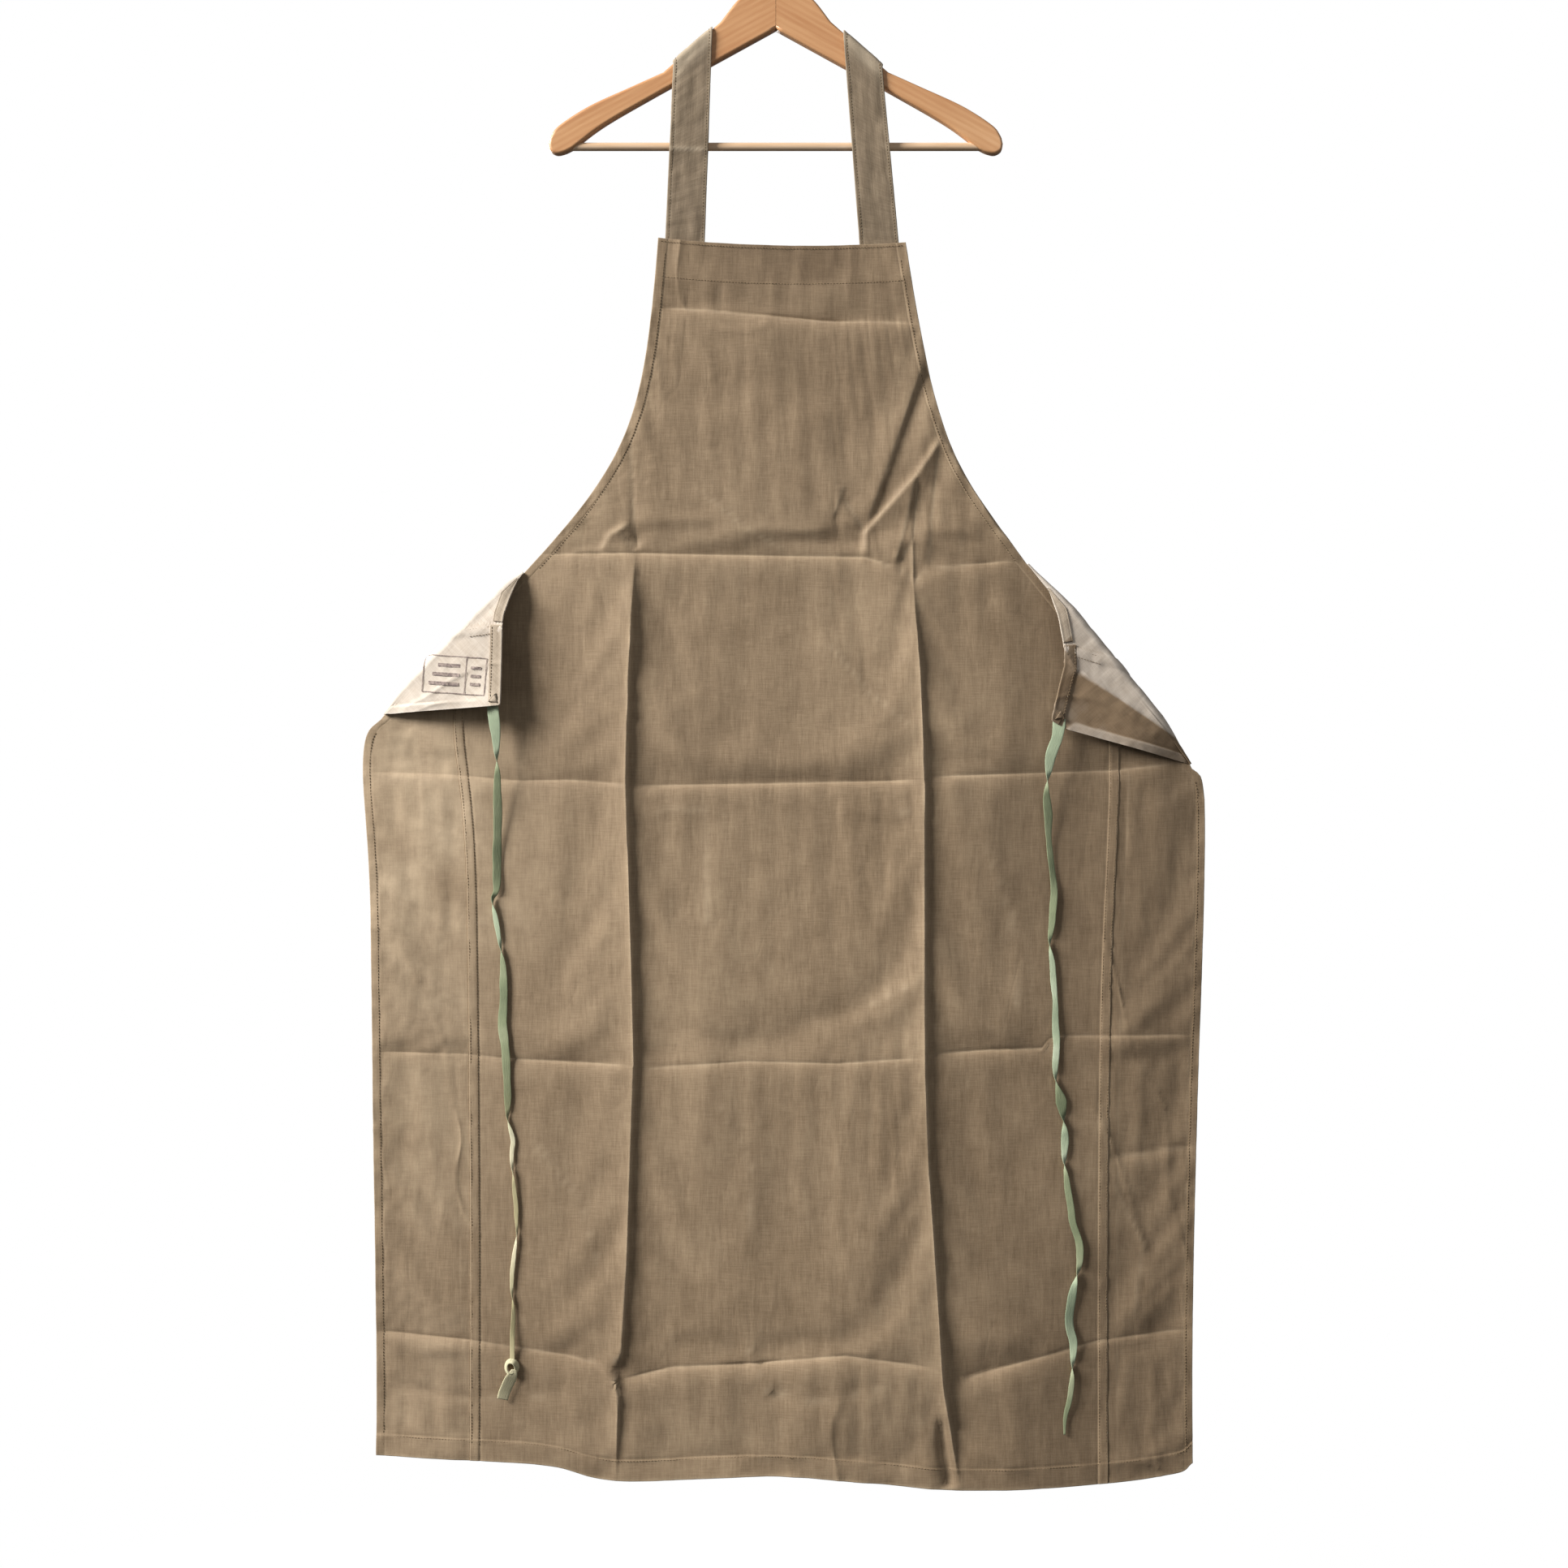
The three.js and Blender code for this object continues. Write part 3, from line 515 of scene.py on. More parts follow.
def feed(tree, socket, value):
    """Gives a socket a number, a colour or another node's output."""
    if isinstance(value, tuple):
        socket.default_value = (*value, 1)
    elif isinstance(value, (int, float)):
        socket.default_value = value
    else:
        tree.links.new(value, socket)


def pattern(tree):
    node = tree.nodes.new("ShaderNodeUVMap")
    node.uv_map = "pattern"
    return node.outputs[0]


def place(tree):
    return tree.nodes.new("ShaderNodeTexCoord").outputs["Object"]


def painted(tree, name):
    """A value laid on the mesh, such as its wear and painted highlight, or its painted shade and darkening."""
    node = tree.nodes.new("ShaderNodeAttribute")
    node.attribute_name = name
    return node.outputs["Fac"]


def math_node(tree, operation, a, b=None, clamp=False):
    node = tree.nodes.new("ShaderNodeMath")
    node.operation = operation
    node.use_clamp = clamp
    for socket, value in zip(node.inputs, (a, b)):
        if value is not None:
            feed(tree, socket, value)
    return node.outputs[0]


def weighted(tree, *parts):
    """The sum of outputs, each times an amount."""
    total = None
    for source, amount in parts:
        scaled = math_node(tree, "MULTIPLY", source, amount)
        total = scaled if total is None else math_node(tree, "ADD", total, scaled)
    return total


def linear(r, g, b):
    """A colour from its 8-bit screen values."""
    return tuple(((c / 255 + 0.055) / 1.055) ** 2.4 if c > 10 else c / 255 / 12.92 for c in (r, g, b))


def ramp(tree, value, stops):
    """Each stop is a position and a colour, or one number for a grey."""
    node = tree.nodes.new("ShaderNodeValToRGB")
    elements = node.color_ramp.elements
    while len(elements) < len(stops):
        elements.new(0.5)
    for element, (position, colour) in zip(elements, stops):
        element.position = position
        element.color = (*colour, 1) if isinstance(colour, tuple) else (colour, colour, colour, 1)
    tree.links.new(value, node.inputs[0])
    return node.outputs[0]


def stretched(tree, vector, scale):
    node = tree.nodes.new("ShaderNodeMapping")
    node.inputs["Scale"].default_value = scale
    tree.links.new(vector, node.inputs["Vector"])
    return node.outputs[0]


def noise(tree, vector, scale, detail=3.0, roughness=0.55, stretch=None):
    node = tree.nodes.new("ShaderNodeTexNoise")
    node.inputs["Scale"].default_value = scale
    node.inputs["Detail"].default_value = detail
    node.inputs["Roughness"].default_value = roughness
    tree.links.new(stretched(tree, vector, stretch) if stretch else vector, node.inputs["Vector"])
    return node.outputs[0]


def waves(tree, vector, direction, scale, distortion, detail, detail_scale):
    node = tree.nodes.new("ShaderNodeTexWave")
    node.bands_direction = direction
    node.inputs["Scale"].default_value = scale
    node.inputs["Distortion"].default_value = distortion
    node.inputs["Detail"].default_value = detail
    node.inputs["Detail Scale"].default_value = detail_scale
    tree.links.new(vector, node.inputs["Vector"])
    return node.outputs["Fac"]


def mix(tree, factor, a, b, blend="MIX"):
    node = tree.nodes.new("ShaderNodeMix")
    node.data_type = "RGBA"
    node.blend_type = blend
    feed(tree, node.inputs["Factor"], factor)
    for key, value in (("A", a), ("B", b)):
        feed(tree, next(i for i in node.inputs if i.name == key and i.type == "RGBA"), value)
    return next(o for o in node.outputs if o.type == "RGBA")


def overlay(tree, amount, share, colour, other):
    """Mixes in a colour by an amount that is painted on the mesh."""
    return mix(tree, math_node(tree, "MULTIPLY", amount, share, True), colour, other)


def bump(tree, shader, *heights):
    """Stacks bumps: each is (height, strength, distance in metres)."""
    normal = None
    for height, strength, distance in heights:
        node = tree.nodes.new("ShaderNodeBump")
        node.inputs["Strength"].default_value = strength
        node.inputs["Distance"].default_value = distance
        tree.links.new(height, node.inputs["Height"])
        if normal is not None:
            tree.links.new(normal, node.inputs["Normal"])
        normal = node.outputs[0]
    tree.links.new(normal, shader.inputs["Normal"])


def cotton(name, *screen_colours, darkening_tint=(0.54, 0.50, 0.45)):
    """Slubbed plain-weave cotton: threads both ways, streaks along the warp, fading, wear with painted
    highlight, and darkening that is partly painted shade.
    """
    low, middle, high, worn_and_lit = (linear(*c) for c in screen_colours)
    material, tree, shader = nodes_of(name)
    where = pattern(tree)
    streaks = noise(tree, where, 26, 5, 0.62, (9.0, 0.9, 1))
    slub_warp = noise(tree, where, 60, 4, 0.6, (16.0, 0.9, 1))
    slub_weft = noise(tree, where, 60, 4, 0.6, (0.9, 16.0, 1))
    fading = noise(tree, where, 5.5, 4, 0.6)
    mottle = noise(tree, where, 42, 4, 0.6)
    tone = weighted(tree, (streaks, 0.2), (slub_warp, 0.2), (slub_weft, 0.2), (fading, 0.24), (mottle, 0.16))
    colour = ramp(tree, tone, [(0.38, low), (0.5, middle), (0.62, high)])
    # Paler where the cloth is worn, and where highlight is painted along the creases and light over the left
    # wing.
    worn_and_lit_share = math_node(tree, "MULTIPLY", painted(tree, "wear_and_highlight"), ramp(tree, mottle, [(0.35, 0.5), (0.65, 1.0)]))
    colour = overlay(tree, worn_and_lit_share, 0.6, colour, worn_and_lit)
    # Darker where shade is painted (the folded corners, the right wing, under the left corner), and also on the
    # bib and low on the wings.
    darkening_share = math_node(tree, "MULTIPLY", painted(tree, "shade_and_darkening"), ramp(tree, fading, [(0.3, 0.2), (0.7, 1.0)]))
    colour = overlay(tree, darkening_share, 0.62, colour, mix(tree, 1.0, colour, darkening_tint, "MULTIPLY"))
    feed(tree, shader.inputs["Base Color"], colour)
    feed(tree, shader.inputs["Roughness"], ramp(tree, mottle, [(0.3, 0.62), (0.7, 0.8)]))
    shader.inputs["Specular IOR Level"].default_value = 0.35
    shader.inputs["Sheen Weight"].default_value = 0.12
    shader.inputs["Sheen Roughness"].default_value = 0.6
    warp, weft = (waves(tree, where, way, count, 1.2, 2.0, 0.6) for way, count in (("X", 560), ("Y", 500)))
    crumple = noise(tree, where, 13, 2, 0.45, (1.5, 0.55, 1))
    crumple = math_node(tree, "ABSOLUTE", math_node(tree, "SUBTRACT", crumple, 0.5))
    crumple = ramp(tree, crumple, [(0.0, 0.0), (0.035, 0.55), (0.16, 1.0)])
    threads = math_node(tree, "MULTIPLY", warp, weft)
    bump(tree, shader, (slub_warp, 0.14, 0.0006), (slub_weft, 0.14, 0.0006), (threads, 0.25, 0.0003),
         (mottle, 0.2, 0.0009), (crumple, 0.12, 0.0012))
    return material


def tape_cotton():
    """Sage tape: a narrow woven ribbon with a lengthwise rib, yellowed stretches, and painted shade on the
    stretches turned over at each twist.
    """
    material, tree, shader = nodes_of("sage_tape_weave")
    where = pattern(tree)
    along = noise(tree, where, 9, 3, 0.5, (0.4, 1.6, 1))
    ribs = noise(tree, where, 240, 3, 0.6, (4.0, 0.5, 1))
    green = ramp(tree, along, [(0.35, linear(138, 152, 124)), (0.55, linear(170, 183, 153)),
                               (0.7, linear(204, 212, 188))])
    cream = ramp(tree, along, [(0.35, linear(192, 184, 146)), (0.65, linear(226, 216, 184))])
    colour = mix(tree, painted(tree, "wear_and_highlight"), green, cream)
    # Painted shade for the stretches that turn over at each twist.
    shade_colour = mix(tree, 1.0, colour, (0.56, 0.54, 0.42), "MULTIPLY")
    colour = overlay(tree, painted(tree, "shade_and_darkening"), 0.85, colour, shade_colour)
    colour = mix(tree, 0.25, colour, ramp(tree, ribs, [(0.35, 0.35), (0.65, 0.9)]), "MULTIPLY")
    feed(tree, shader.inputs["Base Color"], colour)
    feed(tree, shader.inputs["Roughness"], ramp(tree, ribs, [(0.3, 0.72), (0.7, 0.92)]))
    shader.inputs["Sheen Weight"].default_value = 0.15
    bump(tree, shader, (ribs, 0.5, 0.0006))
    return material


def flecked(name, scale, detail, stops, roughness, relief_bump=None):
    """One colour flecked with another: thread and ink."""
    material, tree, shader = nodes_of(name)
    fleck = noise(tree, place(tree), scale, detail)
    feed(tree, shader.inputs["Base Color"], ramp(tree, fleck, stops))
    shader.inputs["Roughness"].default_value = roughness
    if relief_bump:
        bump(tree, shader, (fleck, *relief_bump))
    return material


def wood(name, *screen_colours, grain, gloss):
    """Lacquered beech: fine pores and long grain along the piece, under a clear coat."""
    dark, middle, light = (linear(*c) for c in screen_colours)
    material, tree, shader = nodes_of(name)
    where = pattern(tree)
    rings = noise(tree, where, 8, 3, 0.5, grain)
    bands = waves(tree, stretched(tree, where, (0.12, 1.2, 1)), "Y", 46, 2.2, 3, 1.4)
    pores = noise(tree, where, 330, 2, 0.7, (0.1, 1.6, 1))
    tone = weighted(tree, (rings, 0.55), (bands, 0.09), (pores, 0.17))
    colour = ramp(tree, tone, [(0.3, dark), (0.5, middle), (0.68, light)])
    feed(tree, shader.inputs["Base Color"], overlay(tree, painted(tree, "wear_and_highlight"), 0.5, colour, dark))
    feed(tree, shader.inputs["Roughness"], ramp(tree, pores, [(0.3, 0.34), (0.7, 0.5)]))
    shader.inputs["Coat Weight"].default_value = gloss
    shader.inputs["Coat Roughness"].default_value = 0.22
    bump(tree, shader, (pores, 0.2, 0.0003))
    return material


def steel():
    material, tree, shader = nodes_of("zinc_wire")
    drawn = noise(tree, place(tree), 260, 3, 0.6, (1.0, 1.0, 0.2))
    patina = noise(tree, place(tree), 70, 4)
    feed(tree, shader.inputs["Base Color"],
         ramp(tree, patina, [(0.35, (0.42, 0.41, 0.4)), (0.65, (0.66, 0.67, 0.69))]))
    shader.inputs["Metallic"].default_value = 1.0
    feed(tree, shader.inputs["Roughness"], ramp(tree, drawn, [(0.3, 0.22), (0.7, 0.42)]))
    bump(tree, shader, (drawn, 0.15, 0.0002))
    return material


# The tint of painted shade on the reverse, such as below the right corner's crease.
BROWN_SHADE = (0.36, 0.28, 0.19)
FACE = cotton("khaki_face", (120, 99, 73), (146, 124, 97), (168, 146, 117), (206, 184, 154))
# The reverse is paler than the face: partly its own lighter colour, partly painted light.
REVERSE = cotton("khaki_reverse", (190, 174, 156), (212, 199, 184), (228, 217, 204), (238, 230, 220),
                 darkening_tint=BROWN_SHADE)
STRAP_FACE = cotton("strap_face", (94, 79, 60), (124, 107, 85), (150, 133, 110), (196, 180, 156))
STRIP = cotton("reverse_strip", (150, 134, 114), (176, 160, 140), (196, 182, 162), (222, 212, 198),
               darkening_tint=BROWN_SHADE)
TAPE = tape_cotton()
THREAD = flecked("stitch_thread", 900, 2, [(0.35, linear(104, 84, 60)), (0.7, linear(150, 128, 98))],
                 0.8, (0.4, 0.0003))
INK = flecked("faded_ink", 420, 3, [(0.35, linear(112, 98, 96)), (0.65, linear(170, 154, 144))], 0.9)
HANGER_WOOD = wood("lacquered_beech", (190, 136, 92), (208, 158, 112), (224, 178, 134),
                   grain=(0.6, 6.0, 1), gloss=0.25)
BAR_WOOD = wood("bare_beech", (206, 170, 132), (230, 202, 172), (240, 220, 196),
                grain=(0.5, 6.0, 1), gloss=0.05)
STEEL = steel()


# ---------- long thin pieces ----------

def across_frame(tangent, across):
    """The width's direction square to the tangent, and the direction square to both."""
    across = unit(across - tangent * np.sum(across * tangent, 1, keepdims=True))
    return across, np.cross(tangent, across)


def wall_faces(count, sides):
    """The quads between rings of points."""
    i, j = np.meshgrid(np.arange(count - 1), np.arange(sides), indexing="ij")
    a, b = (i * sides + j).ravel(), (i * sides + (j + 1) % sides).ravel()
    return [tuple(f) for f in np.stack([a, b, b + sides, a + sides], 1)]


def ribbon(name, points, across, widths, thickness, wear_and_highlight, shade_and_darkening, sides=12):
    """A tape with rounded edges along the points; across is its width's direction at each one."""
    across, normal = across_frame(tangents(points), across)
    angle = np.linspace(0, 2 * math.pi, sides, endpoint=False)
    c, s = np.cos(angle), np.sin(angle)
    u = np.sign(c) * np.abs(c) ** 0.7
    v = np.sign(s) * np.abs(s) ** 0.6
    ring = (points[:, None] + across[:, None] * (u[None, :, None] * widths[:, None, None] / 2)
            + normal[:, None] * (v[None, :, None] * thickness / 2))
    count = len(points)
    vertices = np.vstack([ring.reshape(-1, 3), points[:1], points[-1:]])
    first, last, base = count * sides, count * sides + 1, (count - 1) * sides
    faces = wall_faces(count, sides)
    faces += [(first, (k + 1) % sides, k) for k in range(sides)]
    faces += [(last, base + k, base + (k + 1) % sides) for k in range(sides)]
    distance = travelled(points)
    uv = np.stack(np.broadcast_arrays(u[None, :] * widths[:, None] / 2, distance[:, None]), -1)
    uv = np.vstack([uv.reshape(-1, 2), [[0, 0], [0, distance[-1]]]])
    obj = new_mesh(name, vertices, faces, [TAPE], None, uv)
    for key, value in (("wear_and_highlight", wear_and_highlight), ("shade_and_darkening", shade_and_darkening)):
        add_value(obj, key, np.concatenate([np.repeat(value, sides), value[:1], value[-1:]]))
    return obj


def tube(name, points, radius, material, sides=20):
    tangent = tangents(points)
    flat = np.tile([0.0, 1.0, 0.0], (len(points), 1))
    flat[np.abs(tangent[:, 1]) > 0.9] = (1, 0, 0)
    across, normal = across_frame(tangent, flat)
    angle = np.linspace(0, 2 * math.pi, sides, endpoint=False)
    ring = (points[:, None] + (across[:, None] * np.cos(angle)[None, :, None]
                               + normal[:, None] * np.sin(angle)[None, :, None]) * radius)
    vertices = ring.reshape(-1, 3)
    faces = wall_faces(len(points), sides)
    faces += [tuple(range(sides - 1, -1, -1)), tuple(range(len(vertices) - sides, len(vertices)))]
    uv = np.stack(np.broadcast_arrays(travelled(points)[:, None], radius * angle[None, :]), -1)
    obj = new_mesh(name, vertices, faces, [material], None, uv.reshape(-1, 2))
    add_value(obj, "wear_and_highlight", np.zeros(len(vertices)))
    return obj


# ---------- waist ties: they come first, and everything else is made around them ----------

# Routes: (x, y, z) where the tape hangs free, then (x, z) where it lies on the cloth.
LAID_Y = -11.5
LEFT_TIE = [(-275, -21.6, -769), (-273.5, -22.4, -780), (-272.5, -22.2, -793), (-270.3, -20.0, -819),
            (-270.3, -17.0, -852), (-270.3, -14.5, -878), (-271.9, -12.5, -915)] + [
    (x, LAID_Y, z) for x, z in (
        (-272.7, -951), (-276.2, -963), (-272.7, -982), (-266.3, -1024), (-265.5, -1048), (-266.3, -1085),
        (-263.1, -1123), (-261.6, -1162), (-261.2, -1178), (-256.4, -1197), (-256.8, -1210), (-256, -1238),
        (-253.6, -1268), (-252, -1287), (-255.2, -1310), (-258, -1330), (-256, -1361), (-256.8, -1390),
        (-256.4, -1414))]
RIGHT_TIE = [(275.5, -17.4, -787), (274.5, -18.6, -796), (272.5, -19.8, -807), (268, -20, -821),
             (265.5, -19, -835), (263.5, -17.5, -858), (265.5, -15.5, -881), (265.8, -14, -900),
             (267.9, -12.5, -923)] + [
    (x, LAID_Y, z) for x, z in (
        (271.1, -952), (270.3, -981), (267.4, -1005), (270.3, -1029), (272.7, -1071), (273.5, -1101),
        (272.6, -1136), (278.4, -1160), (282, -1187), (282.4, -1218), (284.6, -1245), (289.4, -1274),
        (296.4, -1297), (297, -1313), (293.4, -1331), (289.4, -1353), (286.6, -1370), (287.4, -1382),
        (290.8, -1396), (290.2, -1420), (287, -1448), (282.2, -1468), (281.4, -1485))]
# Where the tape turns over (heights), and how wide its bunched cloth lies: (height, width).
LEFT_TWISTS = [-827, -965, -1011, -1178, -1228, -1290, -1352]
RIGHT_TWISTS = [-848, -1007, -1140, -1180, -1222, -1330, -1420]
LEFT_WIDTHS = [(-777, 11.5), (-800, 10.5), (-827, 7), (-870, 8.5), (-900, 8), (-940, 8.5), (-965, 7),
               (-990, 6), (-1060, 8.5), (-1120, 9), (-1170, 7), (-1200, 5.4), (-1300, 4.8), (-1414, 5)]
RIGHT_WIDTHS = [(-800, 12), (-820, 11), (-848, 8), (-880, 8.5), (-905, 5.5), (-950, 6.4), (-1000, 7.4),
                (-1058, 5.4), (-1110, 7), (-1140, 8), (-1160, 11.5), (-1185, 10), (-1222, 7.5),
                (-1262, 7), (-1300, 8), (-1370, 9), (-1420, 7.5), (-1460, 5), (-1485, 2.2)]
TAPE_WIDTH, TAPE_THICKNESS, TAPE_SIDES = 12.5, 0.9, 16
TIE_FREE, TIE_LAID = -850, -935  # above, it hangs from the folded corner; below, it lies on the cloth
TIE_REACH, TIE_GAP = 24, 1.5


def lying_y(x, z):
    """How far back the tape can hang: on the foremost of the creases near it."""
    reach = np.arange(-TIE_REACH, TIE_REACH + 1, 4.0)
    around = plain_y(x) - np.array([relief(x, z + step) for step in reach]).max(0) - CLOTH / 2
    kernel = np.hanning(31) / np.hanning(31).sum()
    return np.convolve(np.pad(around, 15, mode="edge"), kernel, "valid") - TAPE_THICKNESS / 2 - TIE_GAP


def tape(name, route, twists, widths, cream_below):
    """A tie along its route: turned over at its twists, bunched to its widths, yellowed low down."""
    points = smooth(route, 420)
    z = points[:, 2]

    def along(height, cell, seed):
        return height * lattice_noise(z, z * 0, cell, 50, seed)

    points[:, 0] += along(0.6, 22, 41)
    laid = smoothstep(TIE_FREE, TIE_LAID, z)
    points[:, 1] = points[:, 1] * (1 - laid) + lying_y(points[:, 0], z) * laid
    from_twist = np.min([np.abs(z - height) for height in twists], axis=0)
    half_turns = sum(smoothstep(13, -13, z - height) for height in twists)
    turn = math.pi * half_turns + along(0.22, 40, 44)
    across = np.stack([np.cos(turn), np.sin(turn), 0 * turn], 1)
    width = np.interp(-z, [-h for h, _ in widths], [w for _, w in widths])
    width = np.minimum(width * (1 - 0.5 * bell(from_twist, 14)) * (1 + along(0.08, 16, 42)), TAPE_WIDTH)
    age = smoothstep(cream_below + 60, cream_below - 60, z + along(30, 60, 43))
    # Painted shade on every other stretch, where the tape has turned over.
    turned_shade = 0.5 - 0.5 * np.cos(math.pi * half_turns)
    obj = ribbon(name, points * MM, across, width * MM, TAPE_THICKNESS * MM, age, turned_shade, TAPE_SIDES)
    return obj, points * MM


left_tie, left_route = tape("left_waist_tape", LEFT_TIE, LEFT_TWISTS, LEFT_WIDTHS, -1180)
right_tie, right_route = tape("right_waist_tape", RIGHT_TIE, RIGHT_TWISTS, RIGHT_WIDTHS, -1700)


def knot_mesh(end):
    """A single knot pulled up in the tape, and the short tail that is left below it."""
    t = np.linspace(0, 2 * math.pi, 72)
    ring = end + np.stack([5.2 * np.sin(t) - 0.8, -1.2 - 1.0 * np.sin(2 * t + 0.6), 6.4 * np.cos(t) - 5.0], 1)
    lean = np.stack([0.75 * np.sin(t), np.full(72, 0.8), 0.6 * np.cos(t)], 1)
    loop = ribbon("left_tape_knot", ring * MM, lean, (5.2 + 1.4 * np.sin(t + 0.8)) * MM, 2.0 * MM,
                  np.full(72, 0.85), np.zeros(72))
    steps = ((2, -2.2, -7), (0.5, -2.4, -12), (-3.5, -2.0, -20), (-7.5, -1.6, -29), (-9.5, -1.4, -36))
    drop = smooth([end + np.array(step) for step in steps], 30)
    widths = np.concatenate([np.linspace(5.0, 12.0, 12), np.linspace(12.0, 11.0, 18)])
    tail = ribbon("left_tape_tail", drop * MM, np.tile([0.86, 0.12, 0.5], (30, 1)), widths * MM,
                  TAPE_THICKNESS * MM, np.full(30, 0.95), np.zeros(30))
    return loop, tail


left_knot, left_tail = knot_mesh(left_route[-1] / MM)
dress(left_tie, "left_tie", "sage_tape", "left_waist_tie")
dress(left_knot, "left_tie", "sage_tape", "left_tie_knot")
dress(left_tail, "left_tie", "sage_tape")
dress(right_tie, "right_tie", "sage_tape", "right_waist_tie")


# ---------- cloth panels ----------

drape = simulated_drape()


def banded(distance, width, height=0.55):
    """A sewn band beside an edge: raised cloth, with grooves where it is stitched."""
    return height * smoothstep(width + 0.7, width - 0.5, distance) - 0.8 * height * bell(distance - width, 0.9)


NEAR = [0.7, 1.8, 3.4, 6.0]  # how far from a crease its crowded stations lie
GUIDE_Z, PANEL_FOOT = -1300.0, 1524.0  # where the columns are counted; the hem below the hook
DARKENING_CAP = 1.9


def clustered(knots, step):
    """Stations between the first and last knots, crowded together around the inner ones."""
    stations = []
    for low, high, pace in zip(knots[:-1], knots[1:], np.broadcast_to(step, len(knots) - 1)):
        near = [n for n in NEAR if 2 * n < (high - low) * 0.8]
        reach = near[-1] if near else 0.0
        count = max(int(round((high - low - 2 * reach) / pace)), 1)
        stations += [low] + [low + n for n in near]
        stations += list(np.linspace(low + reach, high - reach, count + 1)[1:-1])
        stations += [high - n for n in near[::-1]]
    return np.array(stations + [knots[-1]])


def follow(stations, knots, guides):
    """Places stations, given between knots, between guides that bend: guides has a row for each knot."""
    knots = np.asarray(knots, float)
    k = np.clip(np.searchsorted(knots, stations, side="right") - 1, 0, len(knots) - 2)
    share = ((stations - knots[k]) / (knots[k + 1] - knots[k]))[:, None]
    return guides[k] * (1 - share) + guides[k + 1] * share


def panel_grid(left_edge, right_edge, top, rows_at, columns_at, steps):
    """x and z over a panel; its rows and columns follow the creases given as functions."""
    top_z = float(top(0.0))
    row_knots = [0.0] + [top_z - float(row(0.0)) for row in rows_at]
    row_knots += [top_z + PANEL_FOOT - HEM_DEPTH, top_z + PANEL_FOOT]
    unit_z = clustered(row_knots, steps[1])
    low, high = float(left_edge(GUIDE_Z)), float(right_edge(GUIDE_Z))
    column_knots = [low, low + SEAM_WIDTH] + [float(c(GUIDE_Z)) for c in columns_at] + [high - SEAM_WIDTH, high]
    unit_x = clustered(column_knots, steps[0])
    x = np.broadcast_to(unit_x, (len(unit_z), len(unit_x))).copy()
    for _ in range(4):
        guides_z = [top(x[0])] + [row(x[len(x) // 2]) for row in rows_at]
        guides_z += [hem_z(x[-1]) + HEM_DEPTH, hem_z(x[-1])]
        z = follow(unit_z, row_knots, np.array([np.broadcast_to(g, x.shape[1:]) for g in guides_z]))
        middle = z[:, z.shape[1] // 2]
        left, right = left_edge(middle), right_edge(middle)
        seam = np.minimum(SEAM_WIDTH, (right - left) * 0.12)
        clear = 0.13 * (right - left)
        inner = [np.clip(c(middle), left + clear, right - clear) for c in columns_at]
        x = follow(unit_x, column_knots, np.array([left, left + seam] + inner + [right - seam, right])).T
        share = (x - x[:, :1]) / np.maximum(x[:, -1:] - x[:, :1], 1e-6)
        x = left_edge(z) * (1 - share) + right_edge(z) * share
    return x, z


def blot(x, z, cx, cz, rx, rz):
    return bell(x - cx, rx) * bell(z - cz, rz)


def wear_and_highlight_at(x, z):
    """Pale lines along the pressed ridges and the creases, partly rubbed wear and partly painted highlight; a
    rubbed hem; and painted light over the left wing.
    """
    worn_and_lit = np.zeros(x.shape)
    for points, height, _, _ in CREASES:
        d, share, _ = line_distance(x, z, points)
        fade = smoothstep(0, 0.1, share) * smoothstep(1, 0.9, share)
        # Pale lines along the creases: partly rubbed wear, partly painted highlight.
        worn_and_lit = np.maximum(worn_and_lit, (0.9 if height > RIDGE_HEIGHT else 0.5) * fade * bell(d, 1.5))
    worn_and_lit = np.maximum(worn_and_lit, 0.8 * bell(z - hem_z(x), 2.0))
    # Painted light: the left wing is lighter, as the light falls from the left.
    lit_left_wing = blot(x, z, -335, -900, 90, 150) + 0.4 * bell(x + 350, 60)
    return np.maximum(worn_and_lit, 0.8 * lit_left_wing * (0.8 + 0.4 * lattice_noise(x, z, 60, 40, 84)))


def shade_and_darkening_at(x, z):
    """Darkening on the bib's middle and top band and low on the wings; painted shade over the right wing and a
    painted shadow under the left folded corner.
    """
    shade_and_darkening = (0.9 * blot(x, z, 66, -456, 48, 60) + 2.2 * blot(x, z, 10, -335, 130, 34)
            + 0.5 * blot(x, z, 0, -480, 90, 110))
    tab = smoothstep(80, 86, np.abs(x)) * smoothstep(-362, -358, z)
    shade_and_darkening *= 1 - 0.75 * tab
    shade_and_darkening += 0.5 * np.clip(lattice_noise(x, z, 16, 220, 85), 0, 1) * smoothstep(-620, -500, z) * (1 - tab)
    shade_and_darkening += 0.35 * smoothstep(-1150, -1450, z) * smoothstep(140, 200, np.abs(x))
    # Painted shade over the right wing, and a painted shadow under the left folded corner.
    shade_and_darkening += 0.85 * smoothstep(150, 300, x) * smoothstep(-640, -700, z) + 0.9 * blot(x, z, -222, -730, 62, 90)
    return np.clip(shade_and_darkening + 0.4 * lattice_noise(x, z, 120, 140, 81), 0, DARKENING_CAP)


